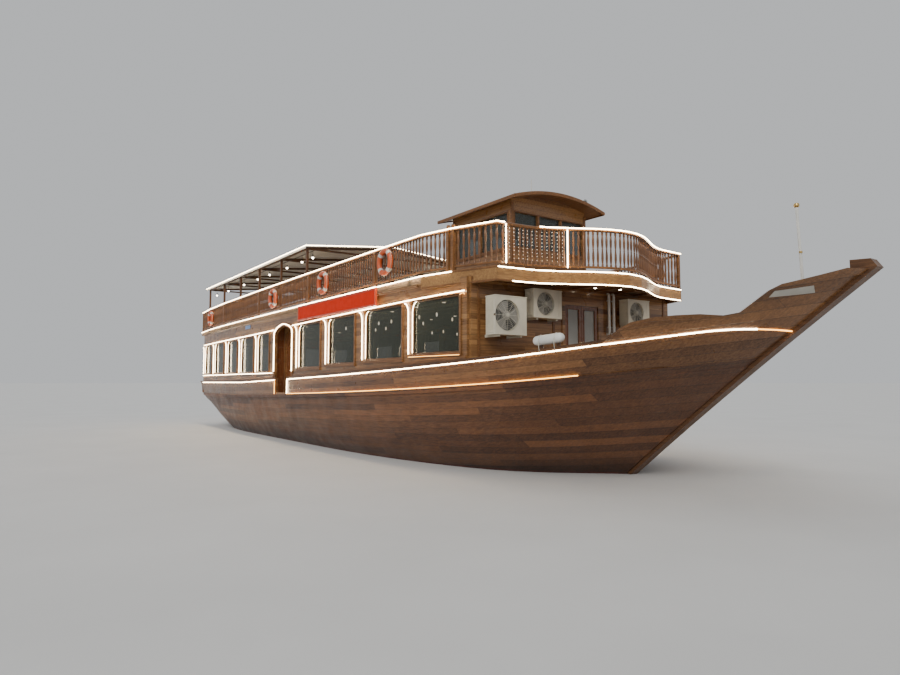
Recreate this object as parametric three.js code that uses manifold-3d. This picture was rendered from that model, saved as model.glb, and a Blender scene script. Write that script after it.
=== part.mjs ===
import * as THREE from "three";
import { mergeVertices, toCreasedNormals } from "three/addons/utils/BufferGeometryUtils.js";
import Module from "manifold-3d";

// Two-deck wooden motor dhow, afloat. Millimetres, +X to the bow, +Y to port, +Z up.
// The origin is on the waterline, amidships.

const wasm = await Module();
wasm.setup();

const GAP = 0.3;
const MOVING_GAP = 6;
const FOOT_GAP = 3;

// Paint and material of each kind of piece.
const FINISH = {
  hull: { color: 0x4a2a16, roughness: 0.45, metalness: 0 },
  timber: { color: 0x5b3319, roughness: 0.5, metalness: 0 },
  varnish: { color: 0x7a431c, roughness: 0.32, metalness: 0 },
  door: { color: 0x6a3214, roughness: 0.3, metalness: 0 },
  deck: { color: 0x8a6238, roughness: 0.7, metalness: 0 },
  white: { color: 0xe9e4d6, roughness: 0.5, metalness: 0 },
  casing: { color: 0xe2dcc8, roughness: 0.45, metalness: 0 },
  glass: { color: 0x1d262b, roughness: 0.08, metalness: 0 },
  bronze: { color: 0x9a7338, roughness: 0.35, metalness: 1 },
  steel: { color: 0xb6b8b8, roughness: 0.35, metalness: 1 },
  cushion: { color: 0x7b2c22, roughness: 0.8, metalness: 0 },
};

// Sheer line: height of the cap rail along the boat.
const SHEER = { start: -7000, base: 2150, slope: 22, lift: 0.00223, bowStart: 9000, bowLift: 10.5 };
const DECK_DROP = 560;
// Face of the raked stem: forward reach against height.
const STEM = { foot: 9950, rake: 1220, curve: 20, rabbet: 120, half: 120, depth: 430 };
const KEEL = { top: -1450, foreBottom: -1800, aftBottom: -2150, riseStart: -8000, riseEnd: -14200, rise: 1800 };
const HULL = { half: 3900, halfAtStem: 160, taperStart: -4000, taperEnd: -14750, taper: 360 };
const SECTION = { round: 2.6, flare: 1.9 };
const ENTRY = { lowPower: 1.8, highPower: 3.0, lowRoot: 1.25, highRoot: 3.4 };
// The bow is drawn in further from this reach on.
const FINE_BOW = { start: 0.72, power: 2.6, root: 0.68 };
const TRANSOM = { foot: -14200, base: 350, rake: 0.3 };
const WALE = { height: 130, proud: 55, faint: 4, fadeFrom: 0.93 };
const BULWARK = { thick: 100, capHeight: 60, capProud: 28, capInside: 30, capTop: 30 };
const GATE = { aft: -2990, fore: -1800 };
const PORCH = { aft: -3250, fore: -1310 };
const WALL = { inset: 30, thick: 70, aft: -14380, fore: 8290, top: 4500 };
const UPPER = { top: 4680, thick: 180 };
const FASCIA = { low: 4340, thick: 50, start: 6860 };
const RAIL = { top: 5680, height: 70, width: 80, inset: 10, lowBase: 4745, lowHeight: 50, pitch: 280, stick: 48 };
const POST = { size: 96, top: 5705 };
const CANOPY = { aft: -14450, fore: -1300, half: 3480, eaves: 6900, ridge: 7250, thick: 55 };
const CABIN = { aft: 4600, fore: 7250, half: 1350, thick: 60, floor: 4680 };
const CABIN_ROOF = { aft: 4250, fore: 7720, half: 1630, edge: 6860, crown: 7120, thick: 60 };

function capHeight(x) {
  const run = Math.max(x - SHEER.start, 0) / 1000;
  const bowRun = Math.max(x - SHEER.bowStart, 0) / 1000;
  return SHEER.base + SHEER.slope * run + SHEER.lift * run ** 4 + SHEER.bowLift * bowRun ** 2;
}

function deckHeight(x) {
  return capHeight(x) - DECK_DROP;
}

function stemFace(z) {
  const metres = z / 1000;
  return STEM.foot + STEM.rake * metres + STEM.curve * metres ** 2;
}

function keelLine(x) {
  const share = Math.max((KEEL.riseStart - x) / (KEEL.riseStart - KEEL.riseEnd), 0);
  return KEEL.top + KEEL.rise * share ** 2;
}

function breadth(x) {
  const share = Math.max((HULL.taperStart - x) / (HULL.taperStart - HULL.taperEnd), 0);
  return HULL.half - HULL.taper * share ** 2;
}

function blend(low, high, share) {
  return low + (high - low) * share;
}

// One point of the hull's outside. A column is a place along the boat: either a fixed x,
// or a reach from 0 amidships to 1 at the stem. heightAt gives the height from x.
function shellPoint(column, heightAt) {
  let x = column.x ?? column.reach * stemFace(SHEER.base);
  let z = heightAt(x);
  if (column.reach !== undefined) {
    for (let pass = 0; pass < 12; pass += 1) {
      x = column.reach * (stemFace(z) - STEM.rabbet);
      z = heightAt(x);
    }
  }
  const bottom = keelLine(x);
  const level = Math.min(Math.max((z - bottom) / (capHeight(x) - bottom), 0), 1);
  const fullness = (1 - (1 - level) ** SECTION.round) ** (1 / SECTION.flare);
  let taper = 1;
  if (column.reach !== undefined) {
    const power = blend(ENTRY.lowPower, ENTRY.highPower, level);
    const root = blend(ENTRY.lowRoot, ENTRY.highRoot, level);
    const drawnIn = Math.max(column.reach - FINE_BOW.start, 0) / (1 - FINE_BOW.start);
    taper = (1 - column.reach ** power) ** (1 / root) * (1 - drawnIn ** FINE_BOW.power) ** FINE_BOW.root;
  }
  const half = column.half ?? HULL.halfAtStem + (breadth(x) - HULL.halfAtStem) * fullness * taper;
  const raked = column.transom ? TRANSOM.foot - TRANSOM.rake * (z - TRANSOM.base) : x;
  return { x: raked, y: half, z };
}

// Closed skin through a row of rings with the same number of points. The ends are closed
// by joining point i to its partner counted from the ring's end.
function loft(rings) {
  const count = rings[0].length;
  const places = rings.flat(2);
  const faces = [];
  for (let ring = 0; ring + 1 < rings.length; ring += 1) {
    for (let side = 0; side < count; side += 1) {
      const next = (side + 1) % count;
      const a = ring * count + side;
      const b = ring * count + next;
      faces.push(a, b, b + count, a, b + count, a + count);
    }
  }
  const last = (rings.length - 1) * count;
  for (let step = 0; step + 1 < count / 2; step += 1) {
    const a = step;
    const b = step + 1;
    const c = count - 2 - step;
    const d = count - 1 - step;
    faces.push(a, d, c, a, c, b);
    faces.push(last + a, last + c, last + d, last + a, last + b, last + c);
  }
  let volume = 0;
  for (let face = 0; face < faces.length; face += 3) {
    const [p, q, r] = [0, 1, 2].map((corner) => new THREE.Vector3().fromArray(places, faces[face + corner] * 3));
    volume += p.dot(q.cross(r));
  }
  if (volume < 0) {
    for (let face = 0; face < faces.length; face += 3) {
      [faces[face], faces[face + 1]] = [faces[face + 1], faces[face]];
    }
  }
  return new wasm.Manifold(new wasm.Mesh({
    numProp: 3,
    vertProperties: new Float32Array(places),
    triVerts: new Uint32Array(faces),
  }));
}

function solid(geometry) {
  const bare = geometry.clone();
  bare.deleteAttribute("normal");
  bare.deleteAttribute("uv");
  const merged = mergeVertices(bare, 0.001);
  return new wasm.Manifold(new wasm.Mesh({
    numProp: 3,
    vertProperties: new Float32Array(merged.attributes.position.array),
    triVerts: new Uint32Array(merged.index.array),
  }));
}

function box(low, high) {
  const size = high.map((value, axis) => value - low[axis]);
  const geometry = new THREE.BoxGeometry(...size);
  geometry.translate(...low.map((value, axis) => value + size[axis] / 2));
  return solid(geometry);
}

// Round bar along one axis ("x", "y" or "z") from one end's centre.
function bar(centre, radius, length, axis, sides = 20) {
  const geometry = new THREE.CylinderGeometry(radius, radius, length, sides);
  geometry.translate(0, length / 2, 0);
  if (axis === "x") {
    geometry.rotateZ(-Math.PI / 2);
  }
  if (axis === "z") {
    geometry.rotateX(Math.PI / 2);
  }
  geometry.translate(...centre);
  return solid(geometry);
}

// Plate from an outline of [across, up] pairs. It lies in the plane x = start or
// y = start and grows by its thickness along that axis.
function plate(outline, start, thick, axis, holes = []) {
  const shape = new THREE.Shape(outline.map(([across, up]) => new THREE.Vector2(across, up)));
  const geometry = new THREE.ExtrudeGeometry(shape, { depth: thick, bevelEnabled: false });
  if (axis === "x") {
    geometry.rotateX(Math.PI / 2);
    geometry.rotateZ(Math.PI / 2);
    geometry.translate(start, 0, 0);
  }
  if (axis === "y") {
    geometry.rotateX(Math.PI / 2);
    geometry.translate(0, start + thick, 0);
  }
  if (axis === "z") {
    geometry.translate(0, 0, start);
  }
  const cuts = holes.map((hole) => plate(hole, start - 10, thick + 20, axis));
  return cuts.length > 0 ? solid(geometry).subtract(unite(cuts)) : solid(geometry);
}

function unite(solids) {
  return wasm.Manifold.union(solids);
}

function mirrorToPort(shape) {
  return shape.mirror([0, 1, 0]);
}

const boat = new THREE.Group();
boat.name = "passenger_dhow";

function add(name, shape, finish) {
  const data = shape.getMesh();
  const geometry = new THREE.BufferGeometry();
  geometry.setAttribute("position", new THREE.BufferAttribute(new Float32Array(data.vertProperties), 3));
  geometry.setIndex(new THREE.BufferAttribute(new Uint32Array(data.triVerts), 1));
  const creased = toCreasedNormals(geometry, Math.PI / 7);
  const piece = new THREE.Mesh(creased, new THREE.MeshStandardMaterial(FINISH[finish]));
  piece.name = name;
  boat.add(piece);
}

// Places along the hull, from the transom to the stem.
const AFT_X = [-13400, -12500, -11500, -10500, -9500, -8500, -7000, -5500, -4000, -2700, -1300];
const REACHES = [0, 0.1, 0.2, 0.3, 0.4, 0.48, 0.56, 0.63, 0.7, 0.76, 0.81, 0.855, 0.895, 0.93, 0.955, 0.975, 0.99, 1];
const COLUMNS = [
  { x: TRANSOM.foot, transom: true },
  ...AFT_X.map((x) => ({ x })),
  ...REACHES.map((reach) => ({ reach })),
];
const HULL_ROWS = [0, 0.03, 0.07, 0.12, 0.18, 0.25, 0.34, 0.44, 0.56, 0.7, 0.84];

function wallHeight(share) {
  return (x) => blend(keelLine(x), deckHeight(x) - WALE.height, share);
}

function proudAt(column) {
  return column.reach > WALE.fadeFrom ? WALE.faint : WALE.proud;
}

function hullRing(column) {
  const side = HULL_ROWS.map((share) => shellPoint(column, wallHeight(share)));
  const waleFoot = shellPoint(column, (x) => deckHeight(x) - WALE.height);
  const waleHead = shellPoint(column, deckHeight);
  side.push(waleFoot);
  side.push({ ...waleFoot, y: waleFoot.y + proudAt(column), z: waleFoot.z + 18 });
  side.push({ ...waleHead, y: waleFoot.y + proudAt(column) + 4 });
  const starboard = side.map((point) => [point.x, -point.y, point.z]);
  const port = side.map((point) => [point.x, point.y, point.z]).reverse();
  return [...starboard, ...port];
}

// Keel, stem and sternpost as one timber, with the opening for the propeller.
const APERTURE = { aft: -12800, fore: -12050, low: -1955, high: -420, heel: -1970 };
const SHAFT = { height: -1290, radius: 55, bearing: 61, propeller: -12420 };
const RUDDER = { axis: -13130, stock: 60, bore: 68, head: 700 };

function stemEdge(setBack, from, to, steps) {
  const edge = [];
  for (let step = 0; step <= steps; step += 1) {
    const z = blend(from, to, step / steps);
    edge.push([stemFace(z) - setBack, z]);
  }
  return edge;
}

const keelOutline = [
  [-13300, KEEL.aftBottom],
  [-9500, KEEL.aftBottom],
  [7000, KEEL.foreBottom],
  [7750, -1690],
  [8250, -1420],
  ...stemEdge(0, -1100, 4060, 9),
  [15130, 4210],
  [14800, 4230],
  ...stemEdge(STEM.depth, 4060, -900, 8),
  [7200, -1150],
  [-8500, -1150],
  [-10500, -850],
  [-12000, -150],
  [-12960, 20],
  [-12960, APERTURE.heel],
  [-13300, APERTURE.heel],
];
const apertureOutline = [
  [APERTURE.aft, APERTURE.low],
  [APERTURE.fore, APERTURE.low],
  [APERTURE.fore, APERTURE.high],
  [APERTURE.aft, APERTURE.high],
];

// Grow a closed outline by a distance; a negative distance shrinks it.
function growOutline(outline, distance) {
  const area = outline.reduce((sum, [x, z], index) => {
    const [nextX, nextZ] = outline[(index + 1) % outline.length];
    return sum + x * nextZ - nextX * z;
  }, 0);
  const side = Math.sign(area) * distance;
  return outline.map(([x, z], index) => {
    const [beforeX, beforeZ] = outline[(index + outline.length - 1) % outline.length];
    const [afterX, afterZ] = outline[(index + 1) % outline.length];
    const first = new THREE.Vector2(z - beforeZ, beforeX - x).normalize();
    const second = new THREE.Vector2(afterZ - z, x - afterX).normalize();
    const scale = side / (1 + first.dot(second));
    return [x + (first.x + second.x) * scale, z + (first.y + second.y) * scale];
  });
}

function keelTimber(spare) {
  const hole = growOutline(apertureOutline, -spare);
  return plate(growOutline(keelOutline, spare), -STEM.half - spare, 2 * (STEM.half + spare), "y", [hole]);
}

const shaftBore = bar([APERTURE.fore - 5, 0, SHAFT.height], SHAFT.bearing, 700, "x");
add("keel_and_stem", keelTimber(0).subtract(shaftBore), "timber");

const stockBore = bar([RUDDER.axis, 0, -1500], RUDDER.bore, RUDDER.head + 1510, "z");
const hull = loft(COLUMNS.map(hullRing)).subtract(keelTimber(GAP)).subtract(stockBore);
add("hull", hull, "hull");

// Bulwark: a skin on the deck edge that follows the hull's outside, with a cap rail.
function plankRow(columns, row) {
  return columns.map((column, index) => {
    const point = shellPoint(column, (x) => row.heightAt(x, column));
    const before = shellPoint(columns[Math.max(index - 1, 0)], (x) => row.heightAt(x, column));
    const after = shellPoint(columns[Math.min(index + 1, columns.length - 1)], (x) => row.heightAt(x, column));
    const along = new THREE.Vector2(after.x - before.x, after.y - before.y).normalize();
    const outX = -along.y;
    const outY = along.x;
    return [point.x + outX * row.out, -(point.y + outY * row.out), point.z];
  });
}

function strip(columns, rows) {
  const lines = rows.map((row) => plankRow(columns, row));
  return loft(columns.map((_, index) => lines.map((line) => line[index])));
}

// Height of the bow boards above the cap rail line, by reach.
const BOW_BOARDS = [
  { reach: 0, rise: 0 },
  { reach: 0.852, rise: 0 },
  { reach: 0.858, rise: 156 },
  { reach: 0.864, rise: 226 },
  { reach: 0.88, rise: 250 },
  { reach: 0.9, rise: 232 },
  { reach: 0.92, rise: 194 },
  { reach: 0.94, rise: 124 },
  { reach: 0.95, rise: 135 },
  { reach: 0.954, rise: 380 },
  { reach: 0.958, rise: 435 },
  { reach: 0.97, rise: 455 },
  { reach: 0.988, rise: 498 },
  { reach: 1, rise: 452 },
];

function boardRise(reach) {
  const after = BOW_BOARDS.findIndex((entry) => entry.reach >= reach);
  if (after <= 0) {
    return 0;
  }
  const [low, high] = [BOW_BOARDS[after - 1], BOW_BOARDS[after]];
  return blend(low.rise, high.rise, (reach - low.reach) / (high.reach - low.reach));
}

function bulwarkRows() {
  const topOf = (x, column) => capHeight(x) + BULWARK.capTop + boardRise(column.reach ?? 0);
  const foot = (x) => deckHeight(x) + FOOT_GAP;
  const underCap = (x, column) => topOf(x, column) - BULWARK.capHeight;
  const inside = -BULWARK.thick;
  return [
    { heightAt: foot, out: 0 },
    { heightAt: underCap, out: 0 },
    { heightAt: underCap, out: BULWARK.capProud },
    { heightAt: topOf, out: BULWARK.capProud },
    { heightAt: topOf, out: inside - BULWARK.capInside },
    { heightAt: underCap, out: inside - BULWARK.capInside },
    { heightAt: underCap, out: inside },
    { heightAt: foot, out: inside },
  ];
}

const BOW_REACHES = [
  0, 0.1, 0.2, 0.3, 0.4, 0.48, 0.56, 0.63, 0.7, 0.74, 0.78, 0.81, 0.835, 0.852, 0.858, 0.864, 0.88, 0.9,
  0.92, 0.94, 0.95, 0.954, 0.958, 0.965, 0.975, 0.988, 0.994,
];
const foreColumns = [
  { x: GATE.fore },
  { x: -1300 },
  ...BOW_REACHES.map((reach) => ({ reach })),
  { reach: 1, half: STEM.half + GAP * 2 },
];
const foreBulwark = strip(foreColumns, bulwarkRows()).subtract(keelTimber(GAP));
add("bulwark_fore_starboard", foreBulwark, "hull");
add("bulwark_fore_port", mirrorToPort(foreBulwark), "hull");

const aftColumns = [
  { x: TRANSOM.foot, transom: true },
  ...AFT_X.filter((x) => x < GATE.aft).map((x) => ({ x })),
  { x: GATE.aft },
];

function transomFace(z) {
  return TRANSOM.foot - TRANSOM.rake * (z - TRANSOM.base);
}

function sternBulwark() {
  const foot = deckHeight(TRANSOM.foot) + FOOT_GAP;
  const top = capHeight(TRANSOM.foot) + BULWARK.capTop;
  const under = top - BULWARK.capHeight;
  const half = breadth(TRANSOM.foot) - 40;
  const ring = [
    [transomFace(foot), foot],
    [transomFace(under), under],
    [transomFace(under) - BULWARK.capProud, under],
    [transomFace(top) - BULWARK.capProud, top],
    [transomFace(top) + BULWARK.thick + BULWARK.capInside, top],
    [transomFace(under) + BULWARK.thick + BULWARK.capInside, under],
    [transomFace(under) + BULWARK.thick, under],
    [transomFace(foot) + BULWARK.thick, foot],
  ];
  return loft([-half, half].map((y) => ring.map(([x, z]) => [x, y, z])));
}

const aftSide = strip(aftColumns, bulwarkRows());
add("bulwark_aft", unite([aftSide, mirrorToPort(aftSide), sternBulwark()]), "hull");

// Outline of the upper deck's front, from the starboard corner round the ogee to port.
const OGEE = { base: 9050, reach: 900, half: 2600 };
const DECK_CORNER = [{ x: 6860, y: 3880 }, { x: 7850, y: 3660 }, { x: 9000, y: 3260 }];
const OGEE_STEPS = [1, 0.84, 0.68, 0.52, 0.36, 0.2, 0];

function ogeeFront() {
  return OGEE_STEPS.map((share) => ({
    x: OGEE.base + OGEE.reach * (0.5 + 0.5 * Math.cos(Math.PI * share)),
    y: OGEE.half * share,
  }));
}

function mirrored(points) {
  return [
    ...points.map((point) => ({ x: point.x, y: -point.y })),
    ...points.filter((point) => point.y > 0).reverse(),
  ];
}

// Shift of a path sideways; positive goes to the inside of a starboard-to-port path.
function offsetPath(path, distance) {
  return path.map((point, index) => {
    const before = path[Math.max(index - 1, 0)];
    const after = path[Math.min(index + 1, path.length - 1)];
    const first = new THREE.Vector2(point.x - before.x, point.y - before.y).normalize();
    const second = new THREE.Vector2(after.x - point.x, after.y - point.y).normalize();
    const along = first.clone().add(second).normalize();
    const reference = first.length() > 0 ? first : second;
    const stretch = distance / Math.max(along.dot(reference), 0.5);
    return { x: point.x - along.y * stretch, y: point.y + along.x * stretch };
  });
}

function band(path, near, far, low, high) {
  const outer = offsetPath(path, near);
  const inner = offsetPath(path, far);
  return loft(path.map((_, index) => [
    [outer[index].x, outer[index].y, low],
    [outer[index].x, outer[index].y, high],
    [inner[index].x, inner[index].y, high],
    [inner[index].x, inner[index].y, low],
  ]));
}

const frontPath = mirrored([...DECK_CORNER, ...ogeeFront()]);
const fasciaRoom = band(frontPath, -GAP, FASCIA.thick + GAP, FASCIA.low - GAP, UPPER.top);

// Saloon walls stand on the cap rail and follow the same plan.
const WALL_X = [-11500, -8500, -5500, -4000, -2000, 0, 1500, 3000, 4500, 5500, 6500, 7400];
const capColumns = [0.1, 0.2, 0.3, 0.4, 0.48, 0.56, 0.6, 0.64, 0.68].map((reach) => shellPoint({ reach }, capHeight));

function capBreadth(x) {
  if (x <= 0) {
    return breadth(x);
  }
  const after = capColumns.findIndex((point) => point.x >= x);
  const low = after > 0 ? capColumns[after - 1] : { x: 0, y: HULL.half };
  const high = capColumns[after];
  return blend(low.y, high.y, (x - low.x) / (high.x - low.x));
}

// Upright sheet on the starboard side between two distances inside the cap line.
function wallSheet(range, outer, inner, lowAt, high) {
  const stations = [range.aft, ...WALL_X.filter((x) => x > range.aft && x < range.fore), range.fore];
  return loft(stations.map((x) => {
    const edge = capBreadth(x);
    return [
      [x, outer - edge, lowAt(x)],
      [x, outer - edge, high],
      [x, inner - edge, high],
      [x, inner - edge, lowAt(x)],
    ];
  }));
}

const SIDE_WINDOWS = [
  { aft: -14150, fore: -12520, sill: 2520, head: 3930 },
  { aft: -11890, fore: -10140, sill: 2510, head: 3930 },
  { aft: -9470, fore: -7890, sill: 2500, head: 3930 },
  { aft: -7330, fore: -5590, sill: 2490, head: 3935 },
  { aft: -5110, fore: -3760, sill: 2495, head: 3960 },
  { aft: -880, fore: 910, sill: 2580, head: 4040 },
  { aft: 1490, fore: 3270, sill: 2650, head: 4065 },
  { aft: 3870, fore: 5780, sill: 2710, head: 4100 },
  { aft: 6200, fore: 8050, sill: 2790, head: 4130 },
];
// Recessed entrance with an arched frame, on both sides.
const ENTRANCE = {
  face: -3500, thick: 70, head: 4230, wall: 50, sill: 1745, spring: 3790, peak: 4100, archHalf: 800, doorHalf: 720,
};
const DOOR_ARCH_DROP = 60;
const entranceMiddle = (PORCH.aft + PORCH.fore) / 2;

// Outline of the arched opening; the curve rises to a soft point in the middle.
function archOutline(half, bottom, lift) {
  const steps = 8;
  const right = [];
  for (let step = 0; step <= steps; step += 1) {
    const turn = (step / steps) * (Math.PI / 2);
    const rise = (1 - Math.cos(turn)) * 0.25 + Math.sin(turn) * 0.75;
    right.push([half * Math.cos(turn), ENTRANCE.spring + lift + (ENTRANCE.peak - ENTRANCE.spring) * rise]);
  }
  const left = right.slice(0, -1).reverse().map(([across, up]) => [-across, up]);
  return [[-half, bottom], [half, bottom], ...right, ...left];
}

function shiftOutline(outline, along) {
  return outline.map(([across, up]) => [across + along, up]);
}

// The porch stands on the deck, and on the cap rail where it is wider than the gate.
function porchShell() {
  const outside = -HULL.half + WALL.inset;
  const inside = ENTRANCE.face + ENTRANCE.thick;
  const shell = loft([PORCH.aft + GAP, PORCH.fore - GAP].map((x) => [
    [x, outside, deckHeight(x) + 4],
    [x, outside, WALL.top - GAP],
    [x, inside, WALL.top - GAP],
    [x, inside, deckHeight(x) + 4],
  ]));
  const capInside = BULWARK.thick + BULWARK.capInside + FOOT_GAP - HULL.half;
  const overCap = (x) => capHeight(x) + BULWARK.capTop + 2 * FOOT_GAP;
  return shell.subtract(unite([
    box([PORCH.aft - 50, -4200, 0], [GATE.aft + GAP, capInside, overCap(GATE.aft)]),
    box([GATE.fore - GAP, -4200, 0], [PORCH.fore + 50, capInside, overCap(PORCH.fore)]),
  ]));
}

function entrancePorch() {
  const outside = -HULL.half + WALL.inset;
  const room = box(
    [PORCH.aft + GAP + ENTRANCE.wall, outside + WALL.thick, ENTRANCE.sill],
    [PORCH.fore - GAP - ENTRANCE.wall, ENTRANCE.face, ENTRANCE.head - ENTRANCE.wall],
  );
  const arch = archOutline(ENTRANCE.archHalf, ENTRANCE.sill, 0);
  const archway = plate(shiftOutline(arch, entranceMiddle), outside - 20, WALL.thick + 40, "y");
  const door = archOutline(ENTRANCE.doorHalf, ENTRANCE.sill, -DOOR_ARCH_DROP);
  const doorway = plate(shiftOutline(door, entranceMiddle), ENTRANCE.face - 20, ENTRANCE.thick + 40, "y");
  return porchShell().subtract(unite([room, archway, doorway]));
}

// The side walls stop at the porches, in an aft and a fore part.
const WALL_PARTS = [
  { end: "aft", aft: WALL.aft, fore: PORCH.aft },
  { end: "fore", aft: PORCH.fore, fore: WALL.fore },
];

function sideWall(range) {
  const sheet = wallSheet(
    range, WALL.inset, WALL.inset + WALL.thick, (x) => capHeight(x) + BULWARK.capTop + 2 * FOOT_GAP, WALL.top - GAP,
  );
  const openings = SIDE_WINDOWS.map((pane) => box([pane.aft, -4200, pane.sill], [pane.fore, -3000, pane.head]));
  return sheet.subtract(unite([...openings, fasciaRoom]));
}

for (const part of WALL_PARTS) {
  add(`saloon_side_${part.end}_starboard`, sideWall(part), "varnish");
  add(`saloon_side_${part.end}_port`, mirrorToPort(sideWall(part)), "varnish");
}
add("entrance_porch_starboard", entrancePorch(), "varnish");
add("entrance_porch_port", mirrorToPort(entrancePorch()), "varnish");

// One sheet of glass behind each wall's windows.
const GLASS = { thick: 12, low: 2420, above: 40, high: 4320, aft: -14300, fore: 8200 };

function sideGlass(range) {
  const near = WALL.inset + WALL.thick + GAP;
  const sheet = wallSheet(range, near, near + GLASS.thick, (x) => capHeight(x) + GLASS.above, GLASS.high);
  return sheet.subtract(unite([
    box([PORCH.aft - 60, -4200, 0], [PORCH.fore + 60, -3000, 5000]),
    box([WALL.aft - 100, -4200, 0], [GLASS.aft, -3000, 5000]),
    box([GLASS.fore, -4200, 0], [WALL.fore + 100, -3000, 5000]),
  ]));
}

for (const part of WALL_PARTS) {
  add(`saloon_glass_${part.end}_starboard`, sideGlass(part), "glass");
  add(`saloon_glass_${part.end}_port`, mirrorToPort(sideGlass(part)), "glass");
}

// Two arched leaves in each entrance; they swing into the saloon.
const LEAF = { thick: 45, middleGap: 5, footGap: 12 };

function entranceLeaf(towardBow) {
  const half = ENTRANCE.doorHalf - MOVING_GAP;
  const face = ENTRANCE.face + ENTRANCE.thick - LEAF.thick;
  const whole = plate(
    shiftOutline(archOutline(half, ENTRANCE.sill + LEAF.footGap, -DOOR_ARCH_DROP - 8), entranceMiddle),
    face, LEAF.thick, "y",
  );
  const side = towardBow
    ? box([entranceMiddle + LEAF.middleGap, -4000, 0], [entranceMiddle + 2000, -3000, 5000])
    : box([entranceMiddle - 2000, -4000, 0], [entranceMiddle - LEAF.middleGap, -3000, 5000]);
  const sign = towardBow ? 1 : -1;
  const near = entranceMiddle + sign * (LEAF.middleGap + 90);
  const far = entranceMiddle + sign * (half - 95);
  const [left, right] = [Math.min(near, far), Math.max(near, far)];
  const panels = [[1900, 2560], [2680, 3680]].map(([low, high]) => unite([
    box([left, face - 20, low], [right, face + 10, high]),
    box([left, face + LEAF.thick - 10, low], [right, face + LEAF.thick + 20, high]),
  ]));
  return whole.intersect(side).subtract(unite(panels));
}

for (const [end, towardBow] of [["aft", false], ["fore", true]]) {
  const leaf = entranceLeaf(towardBow);
  add(`entrance_leaf_${end}_starboard`, leaf, "door");
  add(`entrance_leaf_${end}_port`, mirrorToPort(leaf), "door");
}

// Front wall of the saloon with a glazed double door.
const FRONT_WALL = { back: 8290.3, face: 8370, narrow: 3325, wide: 3500, foot: 2062 };
const FRONT_DOOR = { half: 585, sill: 2120, head: 4050, thick: 45 };
const wideFrom = capHeight(8370) + BULWARK.capTop + 5;
const frontOutline = [
  [-FRONT_WALL.narrow, FRONT_WALL.foot],
  [FRONT_WALL.narrow, FRONT_WALL.foot],
  [FRONT_WALL.narrow, wideFrom],
  [FRONT_WALL.wide, wideFrom],
  [FRONT_WALL.wide, WALL.top - GAP],
  [-FRONT_WALL.wide, WALL.top - GAP],
  [-FRONT_WALL.wide, wideFrom],
  [-FRONT_WALL.narrow, wideFrom],
];

function rectangle(left, right, low, high) {
  return [[left, low], [right, low], [right, high], [left, high]];
}

const frontHole = rectangle(-FRONT_DOOR.half, FRONT_DOOR.half, FRONT_DOOR.sill, FRONT_DOOR.head);
const frontPlate = plate(frontOutline, FRONT_WALL.back, FRONT_WALL.face - FRONT_WALL.back, "x", [frontHole]);
const architrave = plate(
  rectangle(-FRONT_DOOR.half - 110, FRONT_DOOR.half + 110, FRONT_DOOR.sill - 20, FRONT_DOOR.head + 120),
  FRONT_WALL.face - 10, 35, "x", [rectangle(-FRONT_DOOR.half - 12, FRONT_DOOR.half + 12, 2000, FRONT_DOOR.head + 12)],
);
add("saloon_front_wall", frontPlate.subtract(fasciaRoom).add(architrave.subtract(box([8000, -700, 1900], [9000, 700, 2119]))), "varnish");

function frontLeaf() {
  const outline = rectangle(
    -FRONT_DOOR.half + MOVING_GAP, -LEAF.middleGap, FRONT_DOOR.sill + LEAF.footGap, FRONT_DOOR.head - MOVING_GAP,
  );
  const pane = rectangle(-FRONT_DOOR.half + 105, -LEAF.middleGap - 95, 2700, FRONT_DOOR.head - 105);
  return plate(outline, FRONT_WALL.face - FRONT_DOOR.thick, FRONT_DOOR.thick, "x", [pane]);
}

add("front_door_starboard", frontLeaf(), "door");
add("front_door_port", mirrorToPort(frontLeaf()), "door");

// Stern wall of the saloon.
const BACK_WALL = { face: -14450, thick: 70, narrow: 3400, foot: 1612, glass: 12 };
const backWide = breadth(BACK_WALL.face) - WALL.inset;
const backFrom = capHeight(BACK_WALL.face) + BULWARK.capTop + 5;
const STERN_WINDOWS = [
  { left: -2900, right: -1250, low: 2520, high: 3930 },
  { left: -825, right: 825, low: 2520, high: 3930 },
  { left: 1250, right: 2900, low: 2520, high: 3930 },
];
const backOutline = [
  [-BACK_WALL.narrow, BACK_WALL.foot],
  [BACK_WALL.narrow, BACK_WALL.foot],
  [BACK_WALL.narrow, backFrom],
  [backWide, backFrom],
  [backWide, WALL.top - GAP],
  [-backWide, WALL.top - GAP],
  [-backWide, backFrom],
  [-BACK_WALL.narrow, backFrom],
];
const backHoles = STERN_WINDOWS.map((pane) => rectangle(pane.left, pane.right, pane.low, pane.high));
add("saloon_stern_wall", plate(backOutline, BACK_WALL.face, BACK_WALL.thick - GAP, "x", backHoles), "varnish");
add("saloon_stern_glass", plate(
  rectangle(-3100, 3100, GLASS.low, 4030), BACK_WALL.face + BACK_WALL.thick, BACK_WALL.glass, "x",
), "glass");

// Upper deck. Half-breadths of its sides, from the stern forward.
const DECK_SIDE = [
  { x: -14850, y: 3560 }, { x: -12500, y: 3760 }, { x: -10000, y: 3860 }, { x: -5000, y: 3925 },
  { x: 0, y: 3940 }, { x: 4500, y: 3910 },
];
add("deck_fascia", band(frontPath, 0, FASCIA.thick, FASCIA.low, UPPER.top), "varnish");

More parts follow.
